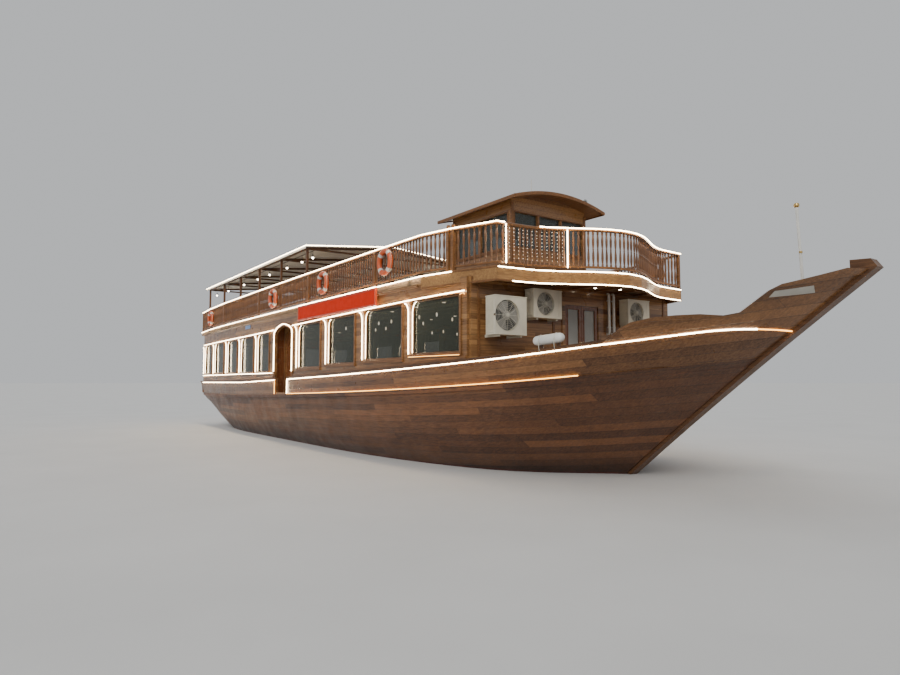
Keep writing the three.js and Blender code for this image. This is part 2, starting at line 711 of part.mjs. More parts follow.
const innerFront = offsetPath(frontPath, FASCIA.thick + GAP);
const deckOutline = [
  ...DECK_SIDE.map(({ x, y }) => [x, -y]),
  ...innerFront.map(({ x, y }) => [x, y]),
  ...DECK_SIDE.slice().reverse().map(({ x, y }) => [x, y]),
];
const STAIRWELL = { aft: -5250, fore: -2500, half: 480 };
const stairHole = [
  [STAIRWELL.aft, -STAIRWELL.half], [STAIRWELL.fore, -STAIRWELL.half],
  [STAIRWELL.fore, STAIRWELL.half], [STAIRWELL.aft, STAIRWELL.half],
];
add("upper_deck", plate(deckOutline, WALL.top, UPPER.thick, "z", [stairHole]), "deck");

// Stair from the saloon up through the deck, rising toward the bow.
const STEPS = { count: 14, foot: -5480, head: -2510, base: 1640, top: 4680, width: 900, slab: 300 };

function stairSolid() {
  const run = (STEPS.head - STEPS.foot) / STEPS.count;
  const rise = (STEPS.top - STEPS.base) / STEPS.count;
  const treads = [[STEPS.foot, STEPS.base]];
  for (let step = 0; step < STEPS.count; step += 1) {
    treads.push([STEPS.foot + run * step, STEPS.base + rise * (step + 1)]);
    treads.push([STEPS.foot + run * (step + 1), STEPS.base + rise * (step + 1)]);
  }
  const underside = treads.map((_, index) => {
    const share = index / (treads.length - 1);
    return [blend(STEPS.foot + STEPS.slab, STEPS.head, share), blend(STEPS.base, STEPS.top - STEPS.slab, share)];
  });
  const ring = [...treads, ...underside.reverse()];
  return loft([-STEPS.width / 2, STEPS.width / 2].map((y) => ring.map(([x, z]) => [x, y, z])));
}

add("companion_stair", stairSolid(), "timber");

// Balustrades: a top rail, a low rail, posts and sticks along a path.
function walkPath(path, pitch) {
  const stops = [];
  for (let index = 0; index + 1 < path.length; index += 1) {
    const from = path[index];
    const to = path[index + 1];
    const length = Math.hypot(to.x - from.x, to.y - from.y);
    const count = Math.max(Math.round(length / pitch), 1);
    for (let step = 0; step < count; step += 1) {
      const share = step / count;
      stops.push({
        x: blend(from.x, to.x, share), y: blend(from.y, to.y, share),
        turn: Math.atan2(to.y - from.y, to.x - from.x), corner: step === 0,
      });
    }
  }
  return stops;
}

function upright(stop, size, low, high) {
  const geometry = new THREE.BoxGeometry(size, size, high - low);
  geometry.rotateZ(stop.turn);
  geometry.translate(stop.x, stop.y, (low + high) / 2);
  return solid(geometry);
}

function balustrade(path, extras = []) {
  const middle = offsetPath(path, RAIL.inset + RAIL.width / 2);
  const ends = [middle[0], middle[middle.length - 1]];
  const sticks = walkPath(middle, RAIL.pitch).filter((stop) => !stop.corner);
  const near = RAIL.inset;
  const far = RAIL.inset + RAIL.width;
  return unite([
    band(path, near, far, RAIL.top - RAIL.height, RAIL.top),
    band(path, near + 12, far - 12, RAIL.lowBase, RAIL.lowBase + RAIL.lowHeight),
    ...sticks.map((stop) => upright(stop, RAIL.stick, RAIL.lowBase + 10, RAIL.top - 10)),
    ...middle.slice(1, -1).map((point) => upright({ ...point, turn: 0 }, RAIL.stick + 20, UPPER.top + GAP, RAIL.top - 10)),
    ...ends.map((point) => upright({ ...point, turn: 0 }, POST.size, UPPER.top + GAP, POST.top)),
    ...extras,
  ]);
}

// Life rings hang on the side balustrades.
const LIFE_RINGS = [
  { x: -12250, z: 5180 }, { x: -3150, z: 5170 }, { x: 1300, z: 5190 }, { x: 5200, z: 5250 },
];
const RING = { radius: 295, tube: 72, out: 25 };

function deckEdgeAt(x) {
  const side = [...DECK_SIDE, ...DECK_CORNER];
  const after = side.findIndex((point) => point.x >= x);
  const [low, high] = [side[after - 1], side[after]];
  return blend(low.y, high.y, (x - low.x) / (high.x - low.x));
}

const rings = LIFE_RINGS.map(({ x, z }) => {
  const geometry = new THREE.TorusGeometry(RING.radius, RING.tube, 6, 16);
  geometry.rotateX(Math.PI / 2);
  geometry.translate(x, -deckEdgeAt(x) - RING.out + RAIL.inset, z);
  return solid(geometry);
});

const sidePath = [
  ...DECK_SIDE.filter(({ x }) => x > -14800), { x: FASCIA.start, y: 3880 }, { x: 7850 - 150, y: 3694 },
].map(({ x, y }) => ({ x, y: -y }));
sidePath.unshift({ x: -14850 + 190, y: -3576 });
const sideRail = balustrade(sidePath, rings);
add("balustrade_starboard", sideRail, "varnish");
add("balustrade_port", mirrorToPort(sideRail), "varnish");

const frontRailPath = mirrored([{ x: 7850, y: 3660 }, { x: 9000, y: 3260 }, ...ogeeFront()]);
add("balustrade_front", balustrade(frontRailPath), "varnish");

const sternRailPath = [{ x: -14850, y: 3340 }, { x: -14850, y: 1120 }, { x: -14850, y: -1120 }, { x: -14850, y: -3340 }];
add("balustrade_stern", balustrade(sternRailPath), "varnish");

// Guard rail round the stairwell, open at the head of the stair.
const GUARD = { aft: -5400, fore: -2560, half: 570, corner: 150 };
const guardSide = balustrade([{ x: GUARD.aft, y: -GUARD.half }, { x: GUARD.fore, y: -GUARD.half }]);
const guardEnd = GUARD.half - GUARD.corner;
add("stair_guard_starboard", guardSide, "varnish");
add("stair_guard_port", mirrorToPort(guardSide), "varnish");
add("stair_guard_aft", balustrade([{ x: GUARD.aft, y: guardEnd }, { x: GUARD.aft, y: -guardEnd }]), "varnish");

// Blank sign boards on the edge of the upper deck.
const SIGN = { aft: -670, fore: 4700, low: 4150, high: 4640, thick: 40 };
const signPath = [SIGN.aft, 0, 4500, SIGN.fore].map((x) => ({ x, y: -deckEdgeAt(x) }));
const signBoard = band(signPath, -SIGN.thick - GAP, -GAP, SIGN.low, SIGN.high);
add("sign_board_starboard", signBoard, "timber");
add("sign_board_port", mirrorToPort(signBoard), "timber");

// Canopy over the after part of the upper deck.
function canopyRing(x) {
  const half = CANOPY.half;
  const section = [
    [-half, CANOPY.eaves - 90], [-half, CANOPY.eaves], [0, CANOPY.ridge], [half, CANOPY.eaves], [half, CANOPY.eaves - 90],
    [half - 60, CANOPY.eaves - 90], [half - 60, CANOPY.eaves - 45],
    [0, CANOPY.ridge - CANOPY.thick], [-half + 60, CANOPY.eaves - 45], [-half + 60, CANOPY.eaves - 90],
  ];
  return section.map(([y, z]) => [x, y, z]);
}

const canopyOutline = canopyRing(0).map(([, y, z]) => [y, z]);
add("canopy_roof", plate(canopyOutline, CANOPY.aft, CANOPY.fore - CANOPY.aft, "x"), "white");

const FRAME = { half: 3350, post: 80, beam: 70, side: 60, rafter: 50, ridge: 70 };
const FRAME_X = [-14200, -11660, -9120, -6580, -4040, -1500];
const FRAME_END = FRAME_X[FRAME_X.length - 1];

// Height of the canopy's underside, less the gap to what carries it.
function canopyUnder(y) {
  const inner = { y: CANOPY.half - 60, z: CANOPY.eaves - 45 };
  const share = Math.abs(y) / inner.y;
  return blend(CANOPY.ridge - CANOPY.thick, inner.z, share) - GAP;
}

const postTop = canopyUnder(FRAME.half + FRAME.post / 2);

// Six posts and the beam on their heads, for the starboard side.
function canopyPosts() {
  const y = -FRAME.half;
  const posts = FRAME_X.map((x) => box(
    [x - FRAME.post / 2, y - FRAME.post / 2, UPPER.top + GAP], [x + FRAME.post / 2, y + FRAME.post / 2, postTop],
  ));
  const beam = box([FRAME_X[0], y - FRAME.side / 2, postTop - FRAME.beam], [FRAME_END, y + FRAME.side / 2, postTop]);
  return unite([...posts, beam]);
}

// Six low trusses between the posts, joined by a ridge beam.
function canopyRafters() {
  const end = FRAME.half - FRAME.post / 2 - GAP;
  const low = postTop - FRAME.beam;
  const crown = canopyUnder(0);
  const outline = [[-end, low], [end, low], [end, canopyUnder(end)], [0, crown], [-end, canopyUnder(end)]];
  const clear = [[-end + 600, low + 65], [end - 600, low + 65], [0, crown - 75]];
  const trusses = FRAME_X.map((x) => plate(outline, x - FRAME.rafter / 2, FRAME.rafter, "x", [clear]));
  const ridge = box([FRAME_X[0], -FRAME.ridge / 2, crown - 75], [FRAME_END, FRAME.ridge / 2, crown - 5]);
  return unite([...trusses, ridge]);
}

add("canopy_posts_starboard", canopyPosts(), "timber");
add("canopy_posts_port", mirrorToPort(canopyPosts()), "timber");
add("canopy_rafters", canopyRafters(), "timber");

// Wheelhouse on the fore part of the upper deck.
function roofHeight(y) {
  return CABIN_ROOF.crown - (CABIN_ROOF.crown - CABIN_ROOF.edge) * (y / CABIN_ROOF.half) ** 2;
}

function camber(half, lift, steps = 10) {
  const curve = [];
  for (let step = 0; step <= steps; step += 1) {
    const y = blend(-half, half, step / steps);
    curve.push([y, roofHeight(y) + lift]);
  }
  return curve;
}

const roofSection = [...camber(CABIN_ROOF.half, 0), ...camber(CABIN_ROOF.half, -CABIN_ROOF.thick).reverse()];
const roofCut = [...camber(CABIN_ROOF.half, -CABIN_ROOF.thick - GAP), [CABIN_ROOF.half, 8000], [-CABIN_ROOF.half, 8000]];
const roofLength = CABIN_ROOF.fore - CABIN_ROOF.aft;
add("wheelhouse_roof", plate(roofSection, CABIN_ROOF.aft, roofLength, "x"), "varnish");

const CABIN_WINDOW = { low: 5650, high: 6560 };
const CABIN_DOOR = { left: -900, right: -200, sill: 4760, head: 6480, thick: 45 };

function cabinWalls() {
  const outer = box(
    [CABIN.aft, -CABIN.half, CABIN.floor + GAP], [CABIN.fore, CABIN.half, 7150],
  );
  const inner = box(
    [CABIN.aft + CABIN.thick, -CABIN.half + CABIN.thick, 4000],
    [CABIN.fore - CABIN.thick, CABIN.half - CABIN.thick, 8000],
  );
  const { low, high } = CABIN_WINDOW;
  const cuts = [
    box([CABIN.fore - 200, -1240, low], [CABIN.fore + 100, -450, high]),
    box([CABIN.fore - 200, -390, low], [CABIN.fore + 100, 390, high]),
    box([CABIN.fore - 200, 450, low], [CABIN.fore + 100, 1240, high]),
    box([5930, -2000, low], [7080, 2000, high]),
    box([4780, -2000, low], [5840, 2000, high]),
    box([CABIN.aft - 100, 100, low], [CABIN.aft + 100, 1150, high]),
    box([CABIN.aft - 100, CABIN_DOOR.left, CABIN_DOOR.sill], [CABIN.aft + 100, CABIN_DOOR.right, CABIN_DOOR.head]),
    plate(roofCut, 4000, 4000, "x"),
  ];
  return outer.subtract(inner).subtract(unite(cuts));
}

add("wheelhouse_walls", cabinWalls(), "varnish");

function cabinGlass() {
  const inset = CABIN.thick + GAP;
  const outer = box(
    [CABIN.aft + inset, -CABIN.half + inset, CABIN_WINDOW.low - 50],
    [CABIN.fore - inset, CABIN.half - inset, CABIN_WINDOW.high + 60],
  );
  const hollow = box(
    [CABIN.aft + inset + 10, -CABIN.half + inset + 10, 4000],
    [CABIN.fore - inset - 10, CABIN.half - inset - 10, 8000],
  );
  const doorway = box([CABIN.aft, CABIN_DOOR.left - 40, 4000], [CABIN.aft + 200, CABIN_DOOR.right + 40, 8000]);
  return outer.subtract(hollow).subtract(doorway);
}

add("wheelhouse_glass", cabinGlass(), "glass");
add("wheelhouse_door", plate(
  rectangle(
    CABIN_DOOR.left + MOVING_GAP, CABIN_DOOR.right - MOVING_GAP, CABIN_DOOR.sill + 8, CABIN_DOOR.head - MOVING_GAP,
  ),
  CABIN.aft, CABIN_DOOR.thick, "x", [rectangle(CABIN_DOOR.left + 110, CABIN_DOOR.right - 110, 5700, 6350)],
), "door");

const HELM = { x: 6560, z: 5580, radius: 340, tube: 22, console: 6640 };
const consoleOutline = [[HELM.console, 4680.3], [7150, 4680.3], [7150, 5560], [HELM.console, 5680]];
add("helm_console", plate(consoleOutline, -420, 840, "y"), "timber");

function helmWheel() {
  const rim = new THREE.TorusGeometry(HELM.radius, HELM.tube, 6, 16);
  rim.rotateY(Math.PI / 2);
  rim.translate(HELM.x, 0, HELM.z);
  const spokes = [0, 60, 120].map((degrees) => {
    const geometry = new THREE.CylinderGeometry(14, 14, 2 * HELM.radius + 180, 6);
    geometry.rotateX(THREE.MathUtils.degToRad(degrees));
    geometry.translate(HELM.x, 0, HELM.z);
    return solid(geometry);
  });
  const hub = bar([HELM.x - 45, 0, HELM.z], 70, 45 + HELM.console - HELM.x - MOVING_GAP, "x", 16);
  return unite([solid(rim), ...spokes, hub]);
}

add("helm_wheel", helmWheel(), "timber");

// Outdoor units of the air conditioning, on brackets on the front wall.
const COOLERS = [
  { name: "cooler_outboard", left: -3235, right: -2320, low: 3170, high: 4040, back: 8560, face: 8900, fan: -2890 },
  { name: "cooler_middle", left: -1940, right: -1030, low: 3630, high: 4310, back: 8420, face: 8720, fan: -1560 },
  { name: "cooler_port", left: 1350, right: 2200, low: 3620, high: 4290, back: 8450, face: 8750, fan: 1690 },
];
const COOLER = { well: 60, hub: 0.28, reach: 0.4, bracket: 40, bracketDrop: 45 };
for (const cooler of COOLERS) {
  const radius = (cooler.high - cooler.low) * COOLER.reach;
  const middle = (cooler.low + cooler.high) / 2;
  const casing = box([cooler.back, cooler.left, cooler.low], [cooler.face, cooler.right, cooler.high]);
  const well = bar([cooler.face - COOLER.well, cooler.fan, middle], radius, 100, "x", 24);
  const hub = bar([cooler.face - COOLER.well - 20, cooler.fan, middle], radius * COOLER.hub, COOLER.well, "x", 16);
  const brackets = [cooler.left + 120, cooler.right - 120 - COOLER.bracket].map((y) => box(
    [FRONT_WALL.face + GAP, y, cooler.low - COOLER.bracketDrop], [cooler.face - 30, y + COOLER.bracket, cooler.low + 20],
  ));
  add(cooler.name, unite([casing.subtract(well), hub, ...brackets]), "casing");
}

// Rudder on a round stock, and the propeller with its shaft.
function rudder() {
  const blade = plate([
    [-13080, -1945], [-13980, -1900], [-14120, -160], [-13080, -480],
  ], -45, 90, "y");
  const stock = bar([RUDDER.axis, 0, -1945], RUDDER.stock, RUDDER.head + 1945, "z");
  return blade.add(stock);
}

add("rudder", rudder(), "timber");

const BLADE = [
  { radius: 90, chord: 150, thick: 44, pitch: 58 }, { radius: 240, chord: 300, thick: 30, pitch: 40 },
  { radius: 390, chord: 330, thick: 20, pitch: 29 }, { radius: 500, chord: 170, thick: 10, pitch: 23 },
];

function propellerBlade(turn) {
  const rings = BLADE.map(({ radius, chord, thick, pitch }) => {
    const angle = THREE.MathUtils.degToRad(90 - pitch);
    const section = [[-chord / 2, 0], [-chord / 6, thick / 2], [chord / 4, thick / 2], [chord / 2, 0],
      [chord / 4, -thick / 2], [-chord / 6, -thick / 2]];
    return section.map(([along, across]) => {
      const x = SHAFT.propeller + across * Math.sin(angle) + along * Math.cos(angle);
      const y = along * Math.sin(angle) - across * Math.cos(angle);
      return [
        x, y * Math.cos(turn) - radius * Math.sin(turn), y * Math.sin(turn) + radius * Math.cos(turn) + SHAFT.height,
      ];
    });
  });
  return loft(rings);
}

const propellerHub = bar([SHAFT.propeller - 150, 0, SHAFT.height], 115, 270, "x", 24);
const propellerShaft = bar([SHAFT.propeller, 0, SHAFT.height], SHAFT.radius, 900, "x");
const blades = [0, 1, 2, 3].map((index) => propellerBlade((index * Math.PI) / 2));
add("propeller", unite([propellerHub, propellerShaft, ...blades]), "bronze");

// Fittings on deck.
const BITTS = { x: 11100, half: 420, post: 170, height: 720 };

function mooringBitts() {
  const foot = deckHeight(BITTS.x + 100) + 2;
  const posts = [-1, 1].map((side) => box(
    [BITTS.x - BITTS.post / 2, side * BITTS.half - BITTS.post / 2, foot],
    [BITTS.x + BITTS.post / 2, side * BITTS.half + BITTS.post / 2, foot + BITTS.height],
  ));
  const cross = box(
    [BITTS.x - 60, -BITTS.half - 300, foot + 380], [BITTS.x + 60, BITTS.half + 300, foot + 500],
  );
  return unite([...posts, cross]);
}

add("mooring_bitts", mooringBitts(), "timber");

// Flag staff, stepped on the stem's back edge.
const STAFF = { footX: 13965, footZ: 3300, headX: 13870, headZ: 5390, radius: 26 };
const staffCurve = new THREE.LineCurve3(
  new THREE.Vector3(STAFF.footX, 0, STAFF.footZ), new THREE.Vector3(STAFF.headX, 0, STAFF.headZ),
);
const staffShape = new THREE.Shape().absarc(0, 0, STAFF.radius, 0, Math.PI * 2);
const staff = solid(new THREE.ExtrudeGeometry(staffShape, {
  steps: 1, extrudePath: staffCurve, curveSegments: 5, bevelEnabled: false,
}));
add("bow_staff", staff.subtract(keelTimber(GAP)), "white");

const LAMP = { x: 7300, y: 1250, stem: 120, radius: 85, length: 170 };
const lampFoot = roofHeight(LAMP.y - 25) + 2;
add("searchlight", unite([
  bar([LAMP.x, LAMP.y, lampFoot], 25, LAMP.stem, "z", 10),
  bar([LAMP.x - LAMP.length / 2, LAMP.y, lampFoot + LAMP.stem + LAMP.radius - 10], LAMP.radius, LAMP.length, "x", 16),
]), "white");
const WHIP = { x: 6950, y: -380, radius: 14, length: 540 };
add("antenna", bar([WHIP.x, WHIP.y, roofHeight(WHIP.y) + 1], WHIP.radius, WHIP.length, "z", 8), "white");

// Benches along the saloon's sides.
const BENCH = { aft: -800, fore: 7300, back: 3340, depth: 480, seat: 430, rest: 900, thick: 110 };

// The bench follows the slope of the deck.
function bench() {
  const back = -BENCH.back;
  const rise = BENCH.rest / (BENCH.rest - BENCH.seat);
  const profiles = [
    [[0, 0], [0, BENCH.rest], [60, BENCH.rest], [60 + (BENCH.thick - 60) * rise, 0]],
    [[0, 0], [0, BENCH.seat - 50], [BENCH.depth - 60, BENCH.seat - 50], [BENCH.depth - 60, 0]],
    [[0, BENCH.seat - BENCH.thick], [0, BENCH.seat], [BENCH.depth, BENCH.seat], [BENCH.depth, BENCH.seat - BENCH.thick]],
  ];
  const stations = [BENCH.aft, 0, 2000, 4000, 6000, BENCH.fore];
  return unite(profiles.map((profile) => loft(stations.map((x) => (
    profile.map(([across, up]) => [x, back + across, deckHeight(x) + FOOT_GAP + 1 + up])
  )))));
}

add("saloon_bench_starboard", bench(), "cushion");
add("saloon_bench_port", mirrorToPort(bench()), "cushion");

export default boat;
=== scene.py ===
"""Looks of a two-deck wooden passenger dhow, afloat. Metres, +X to the bow, +Y to port, +Z up."""

import math
import random

import bmesh
import bpy
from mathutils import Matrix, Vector


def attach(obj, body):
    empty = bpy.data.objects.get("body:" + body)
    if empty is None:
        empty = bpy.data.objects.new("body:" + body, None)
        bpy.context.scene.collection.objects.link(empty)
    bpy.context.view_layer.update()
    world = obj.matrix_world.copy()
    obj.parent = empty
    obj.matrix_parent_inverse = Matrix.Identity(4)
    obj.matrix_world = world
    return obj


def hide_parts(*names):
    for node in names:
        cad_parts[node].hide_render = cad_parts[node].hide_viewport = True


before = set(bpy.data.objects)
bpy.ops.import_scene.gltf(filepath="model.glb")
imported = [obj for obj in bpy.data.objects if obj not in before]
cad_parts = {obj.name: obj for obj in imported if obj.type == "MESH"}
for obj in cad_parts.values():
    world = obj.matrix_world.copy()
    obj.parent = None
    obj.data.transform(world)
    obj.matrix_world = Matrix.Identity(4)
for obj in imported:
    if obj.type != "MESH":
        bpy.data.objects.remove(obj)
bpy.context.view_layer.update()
random.seed(7)

AHEAD, PORTWARD, UP = Vector((1, 0, 0)), Vector((0, 1, 0)), Vector((0, 0, 1))
ASTERN, OUT = -AHEAD, -PORTWARD
TURN = 2 * math.pi
# The camera stands on the quay side of the starboard bow and looks slightly up.
CAMERA = {"place": (20.0, -12.16, 2.12), "heading": 34.8, "pitch": 3.917, "lens": 26.0}


def add_object(name, data):
    made = bpy.data.objects.new(name, data)
    bpy.context.scene.collection.objects.link(made)
    return made


def look_along(made, direction):
    made.rotation_mode = "QUATERNION"
    made.rotation_quaternion = Vector(direction).to_track_quat("-Z", "Y")


def make_camera():
    data = bpy.data.cameras.new("camera")
    data.sensor_width = 36.0
    data.lens = CAMERA["lens"]
    data.clip_end = 2000.0
    camera = add_object("camera", data)
    camera.location = CAMERA["place"]
    heading, pitch = math.radians(CAMERA["heading"]), math.radians(CAMERA["pitch"])
    level = math.cos(pitch)
    look_along(camera, (-math.cos(heading) * level, math.sin(heading) * level, math.sin(pitch)))
    bpy.context.scene.camera = camera


make_camera()


def mix(low, high, share):
    return low + (high - low) * share


def read_table(rows, x):
    """Value at x from (x, value) rows, straight between them and level after the last."""
    for low, high in zip(rows, rows[1:]):
        if x <= high[0]:
            return mix(low[1], high[1], (x - low[0]) / (high[0] - low[0]))
    return rows[-1][1]


def arc(centre, first, second, radius, count, start=0.0, end=TURN, open_end=True):
    """Points on a circle from direction first towards second. The end itself is left out if open_end."""
    turns = [mix(start, end, step / count) for step in range(count if open_end else count + 1)]
    return [centre + (first * math.cos(turn) + second * math.sin(turn)) * radius for turn in turns]


# Lines of the hull and decks, as in the solids.
def cap_height(x):
    run = max(x + 7.0, 0.0)
    return 2.15 + 0.022 * run + 2.23e-6 * run ** 4 + 0.0105 * max(x - 9.0, 0.0) ** 2


def deck_height(x):
    return cap_height(x) - 0.56


def stem_face(z):
    return 9.95 + 1.22 * z + 0.02 * z * z


def keel_line(x):
    share = max((-8.0 - x) / 6.2, 0.0)
    return -1.45 + 1.8 * share ** 2


def breadth(x):
    share = max((-4.0 - x) / 10.75, 0.0)
    return 3.9 - 0.36 * share ** 2


def shell_point(height_at, x=0.0, reach=None):
    """Point on the port side at a height, at a place x or a reach from 0 amidships to 1 at the stem."""
    if reach is not None:
        z = cap_height(0.0)
        for _ in range(12):
            x = reach * (stem_face(z) - 0.12)
            z = height_at(x)
    z = height_at(x)
    bottom = keel_line(x)
    level = min(max((z - bottom) / (cap_height(x) - bottom), 0.0), 1.0)
    fullness = (1 - (1 - level) ** 2.6) ** (1 / 1.9)
    taper = 1.0
    if reach is not None:
        drawn_in = max(reach - 0.72, 0.0) / 0.28
        taper = (1 - reach ** mix(1.8, 3.0, level)) ** (1 / mix(1.25, 3.4, level))
        taper *= (1 - drawn_in ** 2.6) ** 0.68
    return Vector((x, 0.16 + (breadth(x) - 0.16) * fullness * taper, z))


# Stations of the hull, and how far the bow boards rise over the cap line.
REACHES = [
    0, 0.1, 0.2, 0.3, 0.4, 0.48, 0.56, 0.63, 0.7, 0.76, 0.81, 0.855, 0.895, 0.93, 0.955, 0.975, 0.99, 1,
]
BOW_REACHES = [
    0, 0.1, 0.2, 0.3, 0.4, 0.48, 0.56, 0.63, 0.7, 0.74, 0.78, 0.81, 0.835, 0.852, 0.858, 0.864, 0.88, 0.9,
    0.92, 0.94, 0.95, 0.954, 0.958, 0.965, 0.975, 0.988, 0.994, 1,
]
BOW_BOARDS = [
    (0.0, 0.0), (0.852, 0.0), (0.858, 0.156), (0.864, 0.226), (0.88, 0.25), (0.9, 0.232), (0.92, 0.194),
    (0.94, 0.124), (0.95, 0.135), (0.954, 0.38), (0.958, 0.435), (0.97, 0.455), (0.988, 0.498), (1.0, 0.452),
]
STEM_HALF = 0.1206


def moved_out(points, out):
    """Starboard line from points on the port side, shifted away from the hull."""
    line = []
    for index, point in enumerate(points):
        before = points[max(index - 1, 0)]
        after = points[min(index + 1, len(points) - 1)]
        along = Vector((after.x - before.x, after.y - before.y)).normalized()
        line.append(Vector((point.x - along.y * out, -(point.y + along.x * out), point.z)))
    return line


def bulwark_ends(reach):
    """Foot and head of the bulwark planks at a station, on the port side."""
    foot = shell_point(lambda x: deck_height(x) + 0.003, reach=reach)
    head = shell_point(lambda x: cap_height(x) - 0.03 + read_table(BOW_BOARDS, reach), reach=reach)
    if reach == 1:
        foot.y = head.y = STEM_HALF
    return foot, head


def plank_point(reach, share):
    """Point on the outside of the starboard bulwark, from the planks' foot (0) to their head (1)."""
    for low, high in zip(BOW_REACHES, BOW_REACHES[1:]):
        if reach <= high:
            near, far = (foot.lerp(head, share) for foot, head in (bulwark_ends(low), bulwark_ends(high)))
            point = near.lerp(far, (reach - low) / (high - low))
            return Vector((point.x, -point.y, point.z))
    return plank_point(BOW_REACHES[-1], share)


def bow_drop(reach):
    """Drop of the light strip under the cap line, which grows on the bow boards."""
    return 0.048 + 0.154 * (max(reach - 0.93, 0.0) / 0.07) ** 2


def bulwark_line(drop, first_reach, last_reach):
    """Line on the bulwark's outside, on the port side, at a drop below the cap line."""
    points = []
    for reach in (reach for reach in BOW_REACHES if first_reach <= reach <= last_reach):
        foot, head = bulwark_ends(reach)
        share = 1.0
        for _ in range(6):
            height = cap_height(mix(foot.x, head.x, share)) - drop(reach)
            share = (height - foot.z) / (head.z - foot.z)
        points.append(foot.lerp(head, share))
    return points


def offset_path(path, distance):
    """Plan path shifted to its left."""
    shifted = []
    for index, point in enumerate(path):
        before, after = Vector(path[max(index - 1, 0)]), Vector(path[min(index + 1, len(path) - 1)])
        here = Vector(point)
        first = (here - before).normalized() if here != before else (after - here).normalized()
        second = (after - here).normalized() if after != here else first
        along = (first + second).normalized()
        stretch = distance / max(along.dot(first), 0.5)
        shifted.append((here.x - along.y * stretch, here.y + along.x * stretch))
    return shifted


# Plan of the upper deck: its sides, and the ogee of its front edge.
DECK_SIDE = [
    (-14.85, 3.56), (-12.5, 3.76), (-10.0, 3.86), (-5.0, 3.925), (0.0, 3.94), (4.5, 3.91), (6.86, 3.88),
    (7.85, 3.66), (9.0, 3.26),
]
OGEE_HALF = 2.6
OGEE_STEPS = [1, 0.92, 0.84, 0.76, 0.68, 0.6, 0.52, 0.44, 0.36, 0.28, 0.2, 0.1, 0]
CAD_STEPS = [1, 0.84, 0.68, 0.52, 0.36, 0.2, 0]
side_path = [(x, -y) for x, y in DECK_SIDE]


def deck_edge(x):
    return read_table(DECK_SIDE, x)


def ogee_x(y):
    return 9.05 + 0.9 * (0.5 + 0.5 * math.cos(math.pi * min(abs(y) / OGEE_HALF, 1.0)))


def front_path(start, end, steps):
    """Front edge of the upper deck between two values of y, starboard to port."""
    stops = sorted({start, end, *(side * OGEE_HALF * share for share in steps for side in (-1, 1))})
    points = [(ogee_x(y), y) for y in stops if start <= y <= end and abs(y) <= OGEE_HALF]
    if start < -OGEE_HALF:
        points.insert(0, (mix(9.0, 9.05, (3.26 + start) / 0.66), start))
    if end > OGEE_HALF:
        points.append((mix(9.0, 9.05, (3.26 - end) / 0.66), end))
    return points


SPINDLES = {"x": (AHEAD, PORTWARD, UP), "y": (PORTWARD, UP, AHEAD), "z": (UP, AHEAD, PORTWARD)}


class Shapes:
    """Gathers many small shapes and makes one piece of them."""

    def __init__(self):
        self.points = []
        self.faces = []

    def skin(self, rings, closed=True, ends=True, loop=False):
        first = len(self.points)
        count = len(rings[0])
        for ring in rings:
            self.points.extend(tuple(point) for point in ring)
        rows = len(rings)
        for row in range(rows if loop else rows - 1):
            low = first + row * count
            high = first + (row + 1) % rows * count
            for step in range(count if closed else count - 1):
                after = (step + 1) % count
                self.faces.append((low + step, low + after, high + after, high + step))
        if ends and not loop:
            last = first + (rows - 1) * count
            self.faces.append(tuple(range(first + count - 1, first - 1, -1)))
            self.faces.append(tuple(range(last, last + count)))

    def box(self, low, high):
        (x0, y0, z0), (x1, y1, z1) = low, high
        self.skin([[(x0, y0, z), (x1, y0, z), (x1, y1, z), (x0, y1, z)] for z in (z0, z1)])

    def beam(self, start, end, side, width, out, depth):
        """Bar from start to end, as wide as width along side and as thick as depth along out."""
        side = side * (width / 2)
        out = out * depth
        corners = (-side, side, side + out, out - side)
        self.skin([[Vector(tip) + corner for corner in corners] for tip in (start, end)])

    def tube(self, path, radius, sides=8, loop=False):
        path = [Vector(point) for point in path]
        count = len(path)
        rings = []
        normal = None
        for index, point in enumerate(path):
            before = path[index - 1] if index or loop else path[0]
            after = path[(index + 1) % count] if index + 1 < count or loop else path[-1]
            along = (after - before).normalized()
            if normal is None:
                normal = along.orthogonal().normalized()
            normal = (normal - along * normal.dot(along)).normalized()
            rings.append(arc(point, normal, along.cross(normal), radius, sides))
        self.skin(rings, loop=loop)

    def lathe(self, profile, origin, axis="z", sides=12):
        """Turned shape from (radius, height) pairs."""
        spindle, first, second = SPINDLES[axis]
        half_step = math.pi / sides
        self.skin([
            arc(Vector(origin) + spindle * height, first, second, radius, sides, half_step, TURN + half_step)
            for radius, height in profile
        ])

    def along(self, path, section):
        """Moulding along a plan path from (shift to the left, height) pairs."""
        lines = [[(x, y, z) for x, y in offset_path(path, shift)] for shift, z in section]
        self.skin([[line[index] for line in lines] for index in range(len(path))])

    def to_port(self):
        """Adds the mirror image of everything so far."""
        count = len(self.points)
        self.points += [(x, -y, z) for x, y, z in self.points]
        self.faces += [tuple(index + count for index in reversed(face)) for face in self.faces]

    def piece(self, name, material, body="boat", edge=0.0, smooth=40.0, mirrored=False):
        if mirrored:
            self.to_port()
        mesh = bpy.data.meshes.new(name)
        mesh.from_pydata(self.points, [], self.faces)
        mesh.validate()
        mesh.update()
        shape = bmesh.new()
        shape.from_mesh(mesh)
        bmesh.ops.recalc_face_normals(shape, faces=shape.faces)
        shape.to_mesh(mesh)
        shape.free()
        mesh.polygons.foreach_set("use_smooth", [True] * len(mesh.polygons))
        mesh.set_sharp_from_angle(angle=math.radians(smooth))
        mesh.materials.append(material)
        made = add_object(name, mesh)
        if edge:
            soften(made, edge)
        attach(made, body)
        return made


def shape_sets(count):
    return [Shapes() for _ in range(count)]


